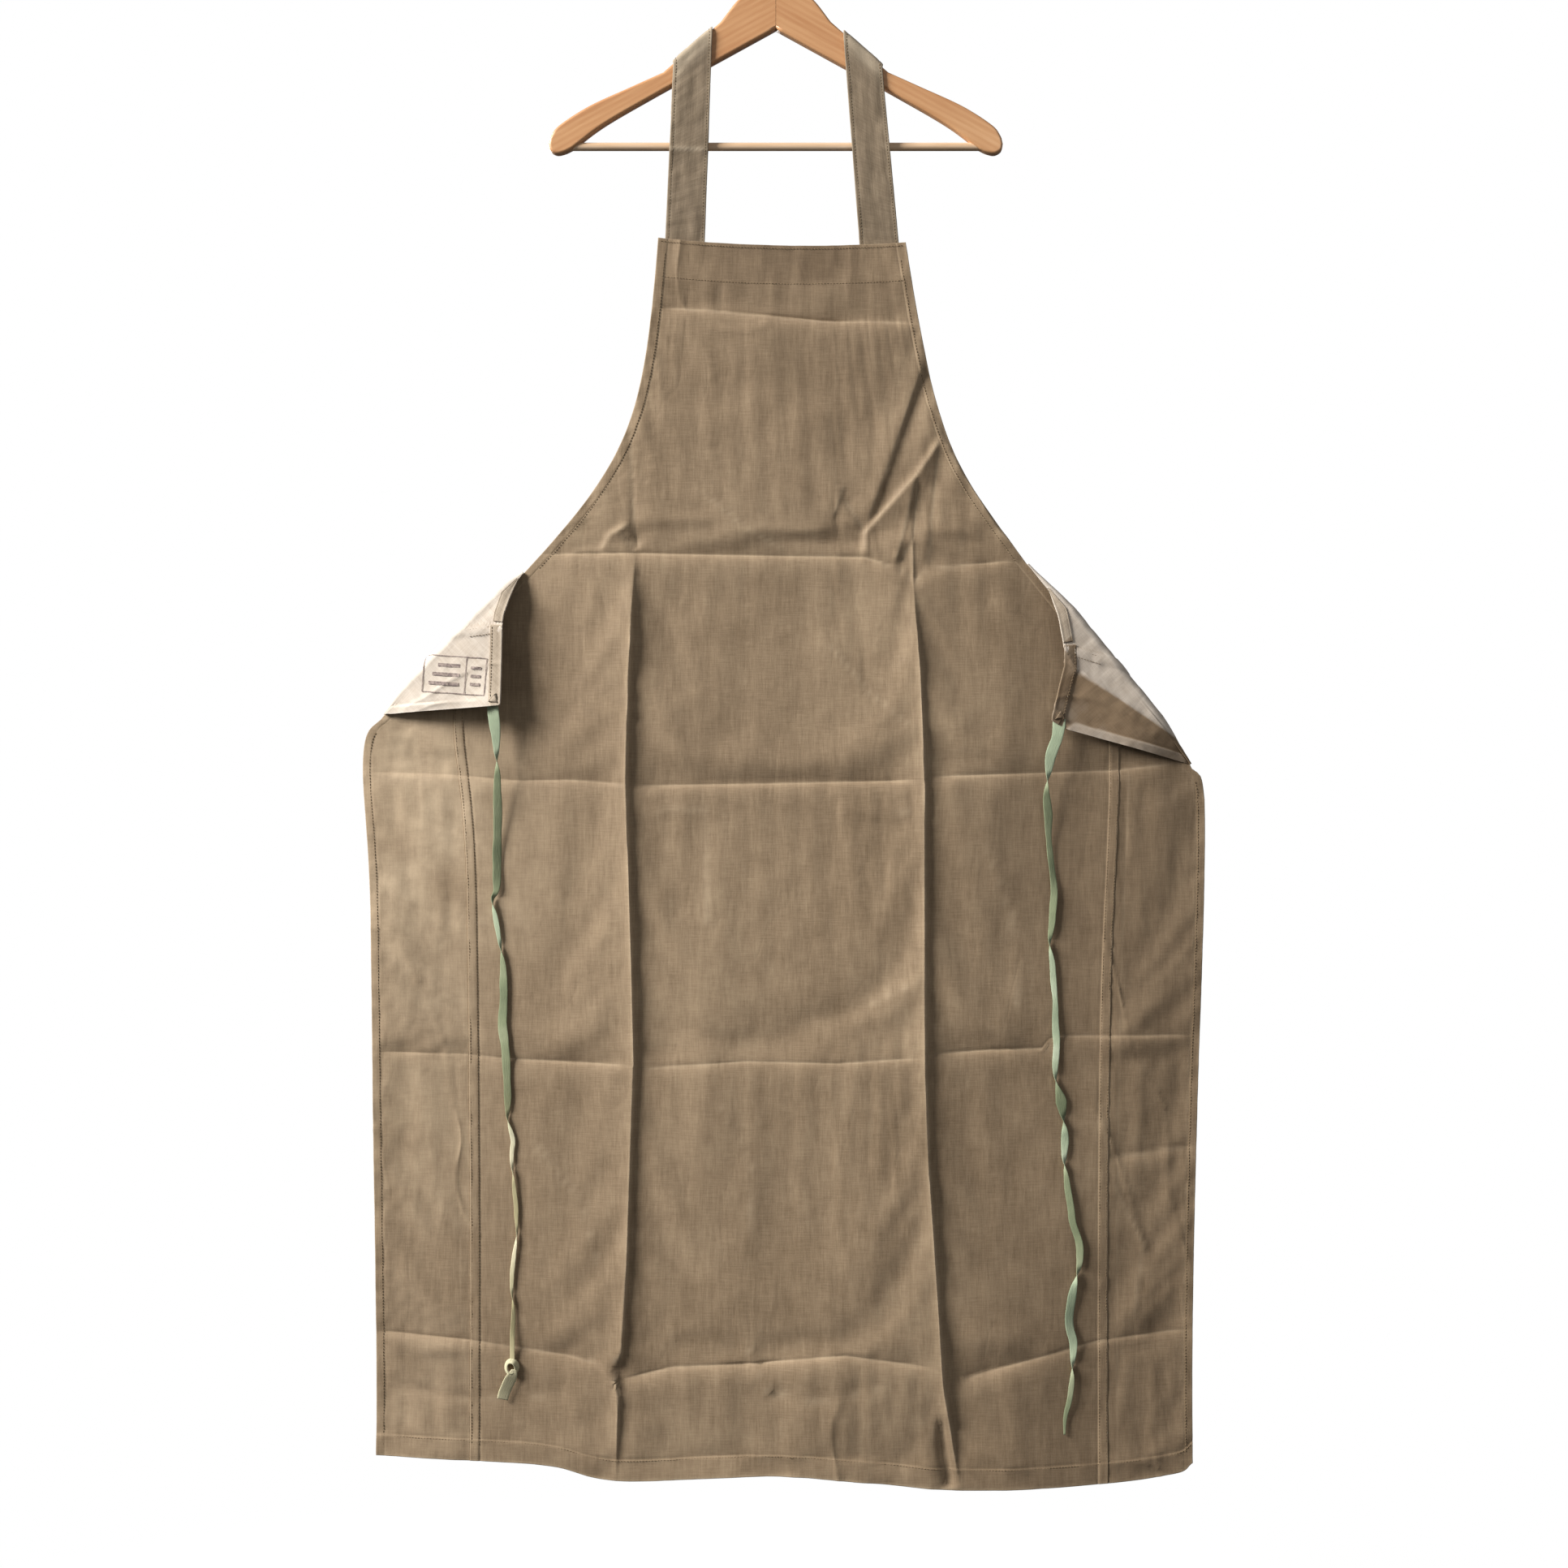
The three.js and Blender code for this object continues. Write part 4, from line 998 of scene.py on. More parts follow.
def build_panel(name, node, left_edge, right_edge, top, bands, steps, rows_at, columns_at=()):
    """A panel of the hanging cloth; bands are the widths sewn along its left and right edges."""
    x, z = panel_grid(left_edge, right_edge, top, rows_at, columns_at, steps)
    forward = np.zeros(x.shape)
    sides = [x - x[:, :1], x[:, -1:] - x]
    edge_pucker = 0.25 * lattice_noise(x, z, 14, 7, 31)
    for distance, band in zip(sides, bands):
        if band:
            strength = 0.22 + 0.33 * smoothstep(-640, -760, z) * (band == SEAM_WIDTH)
            forward += banded(distance, band, strength) + edge_pucker * smoothstep(14, 3, distance)
    above_hem = z - hem_z(x)
    forward += banded(above_hem, HEM_DEPTH, 0.4) + edge_pucker * smoothstep(27, 15, np.abs(above_hem - 6))
    wear_and_highlight = wear_and_highlight_at(x, z)
    for distance in sides:
        wear_and_highlight = np.maximum(wear_and_highlight, 0.5 * bell(distance, 1.3))
        wear_and_highlight = np.maximum(wear_and_highlight, 0.25 * bell(distance - SEAM_WIDTH, 1.2))
    obj = cloth_sheet(name, on_cloth(x, z, forward), np.full(x.shape, CLOTH), np.stack([x, z], -1) * MM,
                      [FACE, REVERSE], wear_and_highlight, shade_and_darkening_at(x, z))
    dress(obj, "apron", "khaki_cotton", node)


def row_line(points):
    """z as a function of x along a crease that runs across the cloth."""
    p = np.array(points, float)
    return lambda x: np.interp(x, p[:, 0], p[:, 1])


WAIST_ROW = row_line([(-246, -626), (-140, -625), (3, -628), (87, -630), (252, -634)])
LEG_ROWS = [row_line(THIGH), row_line(KNEE), row_line(SHIN)]
SIDE_STEPS = (3.4, 3.8)
build_panel(
    "main_panel_cloth", "main_panel", LEFT["main_edge"], RIGHT["main_edge"], bib_z,
    (SEAM_WIDTH, SEAM_WIDTH),
    ([9, 6.4, 6.4, 2.9, 6.0, 9], [6.2, 6.2, 3.0, 6.4, 6.4, 6.4, 6.4, 6.4]),
    [lambda x: bib_z(x) - FACING_DEPTH + 3, row_line(BIB_FOLD), WAIST_ROW] + LEG_ROWS,
    [along_z([(-137, -560)] + LEFT_RIDGE), lambda z: 58 + 0 * z,
     along_z([(148, -450), (134, -600)] + RIGHT_RIDGE)])
build_panel("left_side_panel_cloth", "left_side_panel", LEFT["outer_edge"], LEFT["seam_x"],
            lambda x: LEFT["seam_top"][1] + 0 * x, (SIDE_HEM, None),
            SIDE_STEPS, LEG_ROWS)
build_panel("right_side_panel_cloth", "right_side_panel", RIGHT["seam_x"], RIGHT["outer_edge"],
            lambda x: RIGHT["seam_top"][1] + 0 * x, (None, SIDE_HEM),
            SIDE_STEPS, LEG_ROWS)

# ---------- hanger ----------

# The right arm's outline, in x and z: over the joint, along the shoulder, round the tip and back below.
PEAK = [(0, -68), (20, -71.2), (37, -83.5), (54, -105.1)]
SHOULDER = [(110, -154.3), (141, -168.2), (182, -187), (211, -205.5), (219.5, -216), (222, -224)]
TIP = [(222, -224), (220.5, -230.5), (214, -234), (206, -232.5), (199, -229.2)]
BELOW = [(199, -229.2), (168, -206), (120, -178), (60, -145), (0, -112)]
ARM_BEVEL, GRAIN_LEAN = 2.6, math.radians(-29)
BAR_HALF, BAR_Z, BAR_RADIUS = 210, -226, 4


def seat_z(x):
    return SEAT_Z - (np.abs(x) - SEAT_X) * SEAT_FALL


def arm_outline():
    """The right arm's outline, dense and evenly smooth, from the top of the joint round."""
    return np.vstack([smooth(PEAK, 26)[:-1], PEAK[-1:], smooth(SHOULDER, 44), smooth(TIP, 18)[1:],
                      smooth(BELOW, 40)[1:]])


def hanger_arm(side):
    sign = side["sign"]
    outline = arm_outline()
    tangent = tangents(outline)
    inward = np.stack([tangent[:, 1], -tangent[:, 0]], 1)
    inward[outline[:, 0] < 0.01, 0] = 0
    inward[0], inward[-1] = (0, -1), (0, 1)
    rings = [(ARM_BEVEL + 0.5, -ARM_Y)]
    rings += [(ARM_BEVEL * (1 - math.sin(a)), -ARM_Y + ARM_BEVEL * (1 - math.cos(a)))
              for a in np.linspace(0, math.pi / 2, 6)]
    rings += [(inset, -y) for inset, y in rings[::-1]]
    vertices, uv = [], []
    for inset, y in rings:
        p = outline + inward * inset
        p[:, 0] = np.maximum(p[:, 0], 0.15)
        vertices.append(np.stack([sign * p[:, 0], np.full(len(p), y), p[:, 1]], 1))
        c, s = math.cos(GRAIN_LEAN), math.sin(GRAIN_LEAN)
        uv.append(np.stack([p[:, 0] * c + p[:, 1] * s, -p[:, 0] * s + p[:, 1] * c + y + 90 * sign], 1))
    count = len(outline)
    vertices, uv = np.vstack(vertices), np.vstack(uv)
    faces = []
    for r in range(len(rings) - 1):
        for k in range(count):
            a, b = r * count + k, r * count + (k + 1) % count
            faces.append((a, b, b + count, a + count) if sign < 0 else (a, a + count, b + count, b))
    front, back = list(range(count)), list(range((len(rings) - 1) * count, len(rings) * count))
    faces += [front[::-1], back] if sign < 0 else [front, back[::-1]]
    obj = new_mesh("hanger_%s_wood" % side["name"], vertices * MM, faces, [HANGER_WOOD], None, uv * MM)
    for flat_face in (len(faces) - 2, len(faces) - 1):
        obj.data.polygons[flat_face].use_smooth = False
    x, z = vertices[:, 0], vertices[:, 2]
    rub = 0.5 * bell(np.abs(x) - SEAT_X, 34) * smoothstep(-60, -20, z - seat_z(x) + 30)
    add_value(obj, "wear_and_highlight", 0.6 * np.exp(-np.abs(x) / 1.2) + rub * 0.4)
    dress(obj, "hanger", "hanger_wood", "hanger_%s_arm" % side["name"])


hanger_arm(LEFT)
hanger_arm(RIGHT)
bar_line = np.stack([np.linspace(-BAR_HALF, BAR_HALF, 90), np.zeros(90), np.full(90, BAR_Z)], 1)
bar = tube("trouser_bar_wood", bar_line * MM, BAR_RADIUS * MM, BAR_WOOD, 28)
dress(bar, "hanger", "bar_wood", "trouser_bar")

HOOK_BOW, HOOK_WIRE, HOOK_FILLET, HOOK_ROOT, HOOK_SWEEP = 20.0, 3.8, 12.0, -88, 200


def hook_route():
    """The wire: up out of the peak, bent over a fillet and round the bow to its tip."""
    line = HOOK_BOW + HOOK_WIRE / 2
    drop = math.sqrt((line + HOOK_FILLET) ** 2 - HOOK_FILLET**2)
    turn = math.degrees(math.atan2(drop, HOOK_FILLET))
    corner = -HOOK_BOW - drop
    points = [(0, 0, z) for z in np.linspace(HOOK_ROOT, corner, 14)]
    for x, z, radius, start, end, count in ((HOOK_FILLET, corner, HOOK_FILLET, 180, 180 - turn, 14),
                                            (0, -HOOK_BOW, line, -turn, HOOK_SWEEP, 90)):
        points += [(x + radius * math.cos(math.radians(a)), 0, z + radius * math.sin(math.radians(a)))
                   for a in np.linspace(start, end, count)[1:]]
    return np.array(points) * MM


def domed(obj, tip, radius, material):
    """Joins a ball to the far end of a wire."""
    bpy.ops.mesh.primitive_uv_sphere_add(segments=20, ring_count=10, radius=radius, location=tip)
    ball = bpy.context.object
    ball.data.materials.append(material)
    ball.data.polygons.foreach_set("use_smooth", np.full(len(ball.data.polygons), True))
    for other in bpy.context.selected_objects:
        other.select_set(other == ball)
    obj.select_set(True)
    bpy.context.view_layer.objects.active = obj
    bpy.ops.object.join()
    return obj


hook_line = hook_route()
hook = tube("hook_wire", hook_line, HOOK_WIRE / 2 * MM, STEEL)
dress(domed(hook, hook_line[-1], HOOK_WIRE / 2 * MM, STEEL), "hook", "steel_wire", "wire_hook")
for node, material in (("left_bar_brad", STEEL), ("right_bar_brad", STEEL),
                       ("upper_joint_dowel", BAR_WOOD), ("lower_joint_dowel", BAR_WOOD)):
    bpy.data.objects[node].data.materials.clear()
    bpy.data.objects[node].data.materials.append(material)

# ---------- neck strap: up from the bib, over both arms and behind the peak ----------

STRAP_Y = ARM_Y + 0.5 + STRAP_THICK / 2
STRAP_END_Z, BIB_BACK_Y = -345.0, HANG_Y + CLOTH / 2 + 1.6 + STRAP_THICK / 2
STRAP_DIP, STRAP_OVER = 5.5, 6.4  # below the seat where it meets the wood's faces; its arch above
STRAP_CREASE_Z, STRAP_STITCH = -231, 3.0
TURN_ROWS = 91  # rows of the strap before it bends over the wood


def strap_station(side, stage, t):
    """Points across the strap, for t of -1 to 1 from its inner to its outer edge."""
    sign = side["sign"]
    x_top = side["strap_top"] + (STRAP_HALF - 0.4) * t
    x_end = side["strap_end"] + STRAP_HALF * t
    level = seat_z(x_top) + 1.6 - STRAP_DIP
    if stage < 1:  # the run in front
        z = STRAP_END_Z + (level - STRAP_END_Z) * stage
        x = x_end + (x_top - x_end) * stage
        y = -STRAP_Y + (BIB_BACK_Y + STRAP_Y) * smoothstep(-150, -335, z)
        wave = 0.9 * lattice_noise(x, z, 30, 40, 61) + 0.5 * lattice_noise(x, z, 9, 90, 62)
        free = smoothstep(-330, -300, z) * smoothstep(-140, -175, z)
        crease = side["strap_crease"] * np.exp(-np.abs(z - STRAP_CREASE_Z) / 3.0) * (1.2 + t)
        return np.stack([sign * x, y - np.abs(wave) * free - crease, z], -1)
    if stage < 2:  # over the wood
        turn = (stage - 1) * math.pi
        z = level + STRAP_OVER * np.abs(math.sin(turn)) ** 0.55 + 0.7 * (1 - t**2) * math.sin(turn)
        return np.stack([sign * x_top, -STRAP_Y * math.cos(turn) + 0 * t, z], -1)
    share = stage - 2  # behind the peak
    ease = share * share * (3 - 2 * share) * 0.5 + share * 0.5
    z = level * (1 - ease) + (-91.5 - 18.5 * t) * ease
    ripple = 0.9 * np.sin(3.1 * t + 5 * share) * math.sin(share * math.pi) ** 2
    return np.stack([sign * x_top * (1 - share), STRAP_Y + 0.6 + np.abs(ripple), z], -1)


def outward(rows, column):
    """Normals of the strap, turned to its outer side."""
    normals = grid_normals(rows)
    return -normals if normals[40, column, 1] > 0 else normals


def strap_band():
    edge_steps = [0, 0.03, 0.08, 0.13, 0.17]
    t = spaced(2.0, 0.14, edge_steps, edge_steps) - 1
    stages = np.concatenate([np.linspace(0, 0.985, 90), np.linspace(1.0, 2.0, 22), np.linspace(2.02, 3.0, 26)])
    left, right = ([strap_station(side, stage, t) for stage in stages] for side in (LEFT, RIGHT))
    rows = np.array(left + right[-2::-1]) * MM
    distance = travelled(rows[:, len(t) // 2])
    uv = np.stack(np.broadcast_arrays(t[None, :] * STRAP_HALF * MM, distance[:, None]), -1)
    edge = 1 - np.abs(t)
    from_stitches = edge * STRAP_HALF - STRAP_STITCH
    plump = 0.25 * smoothstep(0, 0.06, edge) + 0.12 * lattice_noise(t * 20, t * 0, 3, 50, 63)
    pucker = swell(*np.broadcast_arrays(distance[:, None] / MM, t[None, :] * 8), (0.18, 6, 5, 64))
    rise = STRAP_THICK / 2 - 0.35 * bell(from_stitches, 0.7) + plump + pucker
    front = rows + outward(rows, len(t) // 2) * rise[..., None] * MM
    shape = front.shape[:2]
    thickness = np.broadcast_to(STRAP_THICK + plump, shape) * (0.35 + 0.65 * smoothstep(0, 0.05, edge))
    wear_and_highlight = np.maximum(0.55 * bell(edge * STRAP_HALF, 1.2), 0.3 * bell(from_stitches, 1.0))
    row = np.arange(len(rows))
    fold = bell(row - TURN_ROWS, 6.0) + bell(len(rows) - 1 - TURN_ROWS - row, 6.0)
    wear_and_highlight = np.maximum(np.broadcast_to(wear_and_highlight, shape), np.minimum(1.3 * fold, 1)[:, None])
    creased = bell(rows[..., 2] / MM - STRAP_CREASE_Z, 1.6) * (rows[..., 0] < 0)
    wear_and_highlight = np.maximum(wear_and_highlight, 0.9 * creased)
    return cloth_sheet("neck_strap_band", front, thickness, uv, [STRAP_FACE], wear_and_highlight), front, t


strap, strap_front, strap_t = strap_band()
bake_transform(strap)
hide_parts("neck_strap_yoke", "strap_left_run", "strap_right_run")

# ---------- reverse side: bib facing, armhole bindings ----------

BACK_GAP, STRIP_THICK = 0.15, 0.8


def back_strip(name, node, inner, outer):
    """A strip sewn to the reverse, between two rows of points."""
    t = np.array([0, 0.05, 0.12, 0.2, 0.35, 0.5, 0.65, 0.8, 0.88, 0.95, 1.0])
    x, z = (outer[:, axis][:, None] * (1 - t) + inner[:, axis][:, None] * t for axis in (0, 1))
    lift = STRIP_THICK - 0.35 * bell(t - 0.2, 0.05) - 0.35 * bell(t - 0.88, 0.05)
    y = plain_y(x) - relief(x, z) + CLOTH / 2 + BACK_GAP + lift
    obj = cloth_sheet(name, np.stack([x, y, z], -1) * MM, np.full(x.shape, STRIP_THICK - 0.05),
                      np.stack([x, z], -1) * MM, [REVERSE], toward=(0, 1, 0))
    dress(obj, "apron", "cotton_reverse", node)


for side in (LEFT, RIGHT):
    hole = side["armhole"]
    below = smooth(hole[hole[:, 1] < side["bib"][1] - FACING_DEPTH - 12], 120)
    back_strip("%s_armhole_strip" % side["name"], "%s_armhole_binding" % side["name"],
               offset_curve(below, side["sign"] * -BINDING), below)

bib_x = np.linspace(-LEFT["bib"][0] + 1, RIGHT["bib"][0] - 1, 70)
back_strip("bib_facing_strip", "bib_top_facing",
           np.stack([bib_x + 0.02 * (bib_x - 6), bib_z(bib_x) - FACING_DEPTH], 1),
           np.stack([bib_x, bib_z(bib_x) - 0.6], 1))

# ---------- folded-over corners ----------


def fold_frame(side):
    """The fold's own axes: along it, in over the cloth from it, and forward."""
    along = unit(np.array([side["along"][0], WING_SLOPE * side["sign"] * side["along"][0], side["along"][1]]))
    forward = unit(np.array([WING_SLOPE * side["sign"], -1.0, 0.0]))
    inward = np.cross(forward, along) * -side["sign"]
    origin = np.array([side["top"][0], plain_y(side["top"][0]), side["top"][1]])
    return origin, along, inward, forward


def flap_edge(side, q):
    """How far in the free edge lies, at a distance q along the fold."""
    length = side["fold_length"]
    points = np.array([(0, 0), *side["flap"], (length, 0)], float)
    fine = np.linspace(0, length, 600)
    edge = np.interp(fine, points[:, 0], points[:, 1])
    kernel = np.hanning(17) / np.hanning(17).sum()
    edge = np.convolve(np.pad(edge, 8, mode="edge"), kernel, "valid")
    edge = edge * smoothstep(-3, 6, fine) * smoothstep(length + 3, length - 6, fine)
    return np.interp(q, fine, np.maximum(edge, 0))


FLAP_CREASE = [(70, 24), (109, 32), (222, -3)]  # runs across the right corner


def flap_lift(side, q, p):
    """How far the folded corner stands forward of its flat plane."""
    lift = side["sway"] * np.clip(p / 80, 0, 1.2) ** 1.6 + swell(q, p, (1.2, 52, 46, 71)) * smoothstep(0, 22, p)
    lift += swell(q, p, (0.3, 20, 24, 72)) * smoothstep(0, 14, p)
    lift += 0.9 * sharp_lines(lattice_noise(q, p + 0.4 * q, 60, 26, 74), 2.4, 3) * smoothstep(2, 16, p)
    if side is RIGHT:
        d, share, turn = line_distance(q, p, FLAP_CREASE)
        beyond = (turn < 0) * smoothstep(70, 110, q)
        lift += (2.0 * np.exp(-d / 4.0) - 3.5 * beyond * (1 - np.exp(-d / 14))) * smoothstep(0, 0.15, share)
    return lift


def roll_radius(side, q):
    """Half the folded corner's height; the fold pinches down to the cloth at both ends."""
    length, (near, far) = side["fold_length"], side["pinch"]
    return FLAP_HEIGHT / 2 * (0.12 + 0.88 * smoothstep(-8, near, q) * smoothstep(length + 8, length - far, q))


def flap_surface(side, q, p, lift=0.0):
    """The flap's mid-surface in the model's frame; p below zero runs back round the roll."""
    origin, along, inward, forward = fold_frame(side)
    radius = roll_radius(side, q)
    turn = np.clip(-p / (math.pi * radius), 0, 1) * math.pi
    across = np.where(p >= 0, p, -radius * np.sin(turn))
    rise = radius * (1 + np.cos(turn))
    rise = rise + flap_lift(side, q, np.maximum(p, 0)) * (p > 0) + lift * np.cos(turn)
    across = across - lift * np.sin(turn)
    return origin + q[..., None] * along + across[..., None] * inward + rise[..., None] * forward


def seam_line(side):
    """Where the corner's felled seam starts on the fold, and its direction to the free edge."""
    start = np.array([side["seam_fold"], 0.0])
    return start, unit(np.array(side["flap"][SEAM_CORNER]) - start)


def flap_seam_distance(side, q, p):
    """Distance from the felled seam's stitched line, positive towards the skirt's side edge."""
    start, direction = seam_line(side)
    return (q - start[0]) * direction[1] - (p - start[1]) * direction[0]


def flap_shade(side, q, p):
    """Painted shade on the folded corners: the right one dark below its crease and a little all over, the left
    one a little towards its free edge.
    """
    if side is LEFT:
        # Left corner: painted shade towards its free edge.
        return 0.14 * smoothstep(40, 80, p) + 0.08 * lattice_noise(q, p, 40, 40, 83)
    # Right corner: painted shade below its crease, and a painted shadow over all of it.
    d, _, turn = line_distance(q, p, FLAP_CREASE)
    return 3.0 * smoothstep(-2, 2, -turn * d) * smoothstep(74, 86, q) + 0.42


def fold_with(obj):
    """Bakes a piece's transform into its mesh."""
    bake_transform(obj)


FLAP_STEP, SEAM_RAISED, SEAM_GROOVE, SEAM_INSET = 2.4, 1.1, 0.35, 1.6


def build_flap(side):
    length = side["fold_length"]
    ends, rims = [0, 0.5, 1.5], [0, 0.006, 0.02, 0.045]
    q = spaced(length, FLAP_STEP, ends, ends)
    p_roll = np.linspace(-1, 0, 22)[:-1, None] * math.pi * roll_radius(side, q)
    p_flat = spaced(1.0, 0.03, rims, rims)[:, None] * np.maximum(flap_edge(side, q), 0.3)
    p = np.vstack([p_roll, p_flat])
    q = np.broadcast_to(q, p.shape)
    seam = flap_seam_distance(side, q, p)
    raised = SEAM_RAISED * smoothstep(-0.6, 0.6, seam) * smoothstep(SEAM_WIDTH + 0.6, SEAM_WIDTH - 0.6, seam)
    raised -= SEAM_GROOVE * (bell(seam - SEAM_INSET, 0.8) + bell(seam - SEAM_WIDTH + 1, 0.8))
    edge_gap = flap_edge(side, q) - p
    from_edge = 0.78 * edge_gap
    side_hem = (q > side["flap"][-1][0] - 2) * (p > 0.5)
    raised += banded(from_edge, SIDE_HEM, 0.9) * side_hem
    mid = flap_surface(side, q, p, CLOTH / 2 + raised + swell(q, p, (0.22, 8, 8, 75)))
    hem_band = side_hem * smoothstep(SIDE_HEM + 1, SIDE_HEM - 1, from_edge)
    wear_and_highlight = 0.7 * bell(edge_gap, 1.4) * (p > 0) + 0.5 * (p < 0)
    wear_and_highlight = np.maximum(wear_and_highlight, 0.2 * hem_band * (side is RIGHT))
    # Painted shade on the corner, a darker line beside the seam, and less over the hem band.
    shade_and_darkening = (flap_shade(side, q, p) + bell(seam + 0.6, 0.9) * (p > 0)) * (1 - 0.45 * hem_band)
    obj = cloth_sheet("%s_flap_cloth" % side["name"], mid * MM, np.full(p.shape, CLOTH),
                      np.stack([q, p], -1) * MM, [REVERSE, FACE], wear_and_highlight, shade_and_darkening)
    fold_with(obj)
    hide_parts("%s_flap_main_cloth" % side["name"], "%s_flap_side_cloth" % side["name"])


def edge_line(side, q_from, q_to, count):
    q = np.linspace(q_from, q_to, count)
    return np.stack([q, flap_edge(side, q)], 1)


def flap_strip(side, name, node, q_from, q_to, width):
    """A strip sewn along the flap's free edge."""
    t = np.array([0, 0.06, 0.14, 0.24, 0.4, 0.55, 0.7, 0.82, 0.9, 0.96, 1.0])
    edge = edge_line(side, q_from, q_to, 60)
    inner = offset_curve(edge, -width)
    inner[:, 1] = np.maximum(inner[:, 1], 0.5)
    q, p = (edge[:, axis, None] * (1 - t) + inner[:, axis, None] * t for axis in (0, 1))
    lift = CLOTH / 2 + 0.45 + STRIP_THICK - 0.3 * bell(t - 0.24, 0.06) - 0.3 * bell(t - 0.9, 0.05)
    top = flap_surface(side, q, p, np.broadcast_to(lift, q.shape))
    # The corner's painted shade carries onto its strip.
    obj = cloth_sheet("%s_flap_%s" % (side["name"], name), top * MM, np.full(q.shape, STRIP_THICK),
                      np.stack([q, p], -1) * MM, [STRIP], np.broadcast_to(0.8 * bell(t, 0.1), q.shape),
                      flap_shade(side, q, np.maximum(p, 60)) * (q > 80))
    dress(obj, "%s_flap" % side["name"], "cotton_reverse", "%s_flap_%s" % (side["name"], node))


for side in (LEFT, RIGHT):
    build_flap(side)
    corner_q, top_q = side["flap"][SEAM_CORNER][0], side["flap"][-2][0]
    flap_strip(side, "edge_strip", "binding_end", side["strip_from"], corner_q - 1, BINDING)
    flap_strip(side, "hem_strip", "top_facing", corner_q + 1, top_q + 8, 12.0)

# ---------- a plain ink frame stamped on the left corner's reverse, with no lettering ----------


# A frame of lines and short bars: from (x, z) to (x, z) within the stamp, and the width.
STAMP_X, STAMP_Z, STAMP_LEAN = -343, -760, math.radians(-4)
STAMP_LINES = [(0, 0, 62, 0, 0.9), (62, 0, 62, 36, 0.9), (62, 36, 0, 36, 0.9), (0, 36, 0, 0, 0.9),
               (42, 0, 42, 36, 0.8), (6, 9, 36, 9, 3.4), (9, 18, 36, 18, 3.4), (14, 27, 36, 27, 3.4),
               (47, 10, 57, 10, 2.8), (47, 18, 57, 18, 2.8), (47, 26, 57, 26, 2.8)]
BAR_STATIONS = 18


def stamp_bar(start, end, width):
    """A thin inked line on the left corner, between two points along and in from its fold."""
    t = np.linspace(0, 1, BAR_STATIONS)[:, None]
    line = start * (1 - t) + end * t
    way = unit(end - start)
    normal = np.array([-way[1], way[0]])
    rows = np.stack([line - normal * width / 2, line, line + normal * width / 2], 1)
    return flap_surface(LEFT, rows[..., 0], rows[..., 1], CLOTH / 2 + 0.45).reshape(-1, 3)


def on_stamp(a, b):
    """A point of the stamp, as distances along the fold and in from it."""
    c, s = math.cos(STAMP_LEAN), math.sin(STAMP_LEAN)
    offset = np.array([STAMP_X + a * c - b * s, STAMP_Z + a * s + b * c]) - LEFT["top"]
    return np.array([offset @ LEFT["along"], offset @ LEFT["inward"]])


bars = [stamp_bar(on_stamp(a, b), on_stamp(c, d), width) for a, b, c, d, width in STAMP_LINES]
bar_faces = [grid_quads(BAR_STATIONS, 3) + k * BAR_STATIONS * 3 for k in range(len(bars))]
fold_with(new_mesh("left_corner_stamp", np.vstack(bars) * MM, np.vstack(bar_faces), [INK]))

# ---------- stitching ----------

STITCH_PITCH, STITCH_LENGTH, STITCH_WIDTH, STITCH_HEIGHT = 3.0, 2.2, 0.55, 0.42


def resampled(at, distance, rows):
    return np.array([np.interp(at, distance, rows[:, axis]) for axis in range(3)])


def stitch_mesh(name, runs):
    """Small raised stitches along runs of (points, normals), in metres."""
    vertices, faces = [], []
    profile = np.array([(-0.5, 0.0), (-0.36, 0.75), (0.36, 0.75), (0.5, 0.0), (0.0, -0.6)])
    stations = np.array([(-0.5, 0.25), (-0.3, 0.9), (0.3, 0.9), (0.5, 0.25)])
    width = len(profile)
    for points, normals in runs:
        distance = travelled(points)
        for k in range(int(distance[-1] / (STITCH_PITCH * MM))):
            middle = (k + 0.5) * STITCH_PITCH * MM
            at, up = resampled(middle, distance, points), resampled(middle, distance, normals)
            along = unit(resampled(middle + 1e-4, distance, points) - at)
            across = np.cross(up, along)
            length = STITCH_LENGTH * (1 + 0.12 * math.sin(17.0 * k))
            base = len(vertices)
            for s, scale in stations:
                for a, h in profile:
                    vertices.append(at + along * s * length * MM + across * a * STITCH_WIDTH * scale * MM
                                    + up * h * STITCH_HEIGHT * scale * MM)
            for r in range(len(stations) - 1):
                for c in range(width):
                    a, b = base + r * width + c, base + r * width + (c + 1) % width
                    faces.append((a, a + width, b + width, b))
            faces.append(tuple(base + c for c in range(width)))
            last = base + (len(stations) - 1) * width
            faces.append(tuple(last + c for c in range(width - 1, -1, -1)))
    return new_mesh(name, vertices, faces, [THREAD])


def cloth_run(curve, lift):
    """A stitched line on the hanging cloth, with its outward normals."""
    steps = travelled(curve)
    fine = np.linspace(0, steps[-1], max(int(steps[-1] / 2.5), 2))
    points = on_cloth(np.interp(fine, steps, curve[:, 0]), np.interp(fine, steps, curve[:, 1]), lift)
    return points, np.tile([0.0, -1.0, 0.0], (len(points), 1))


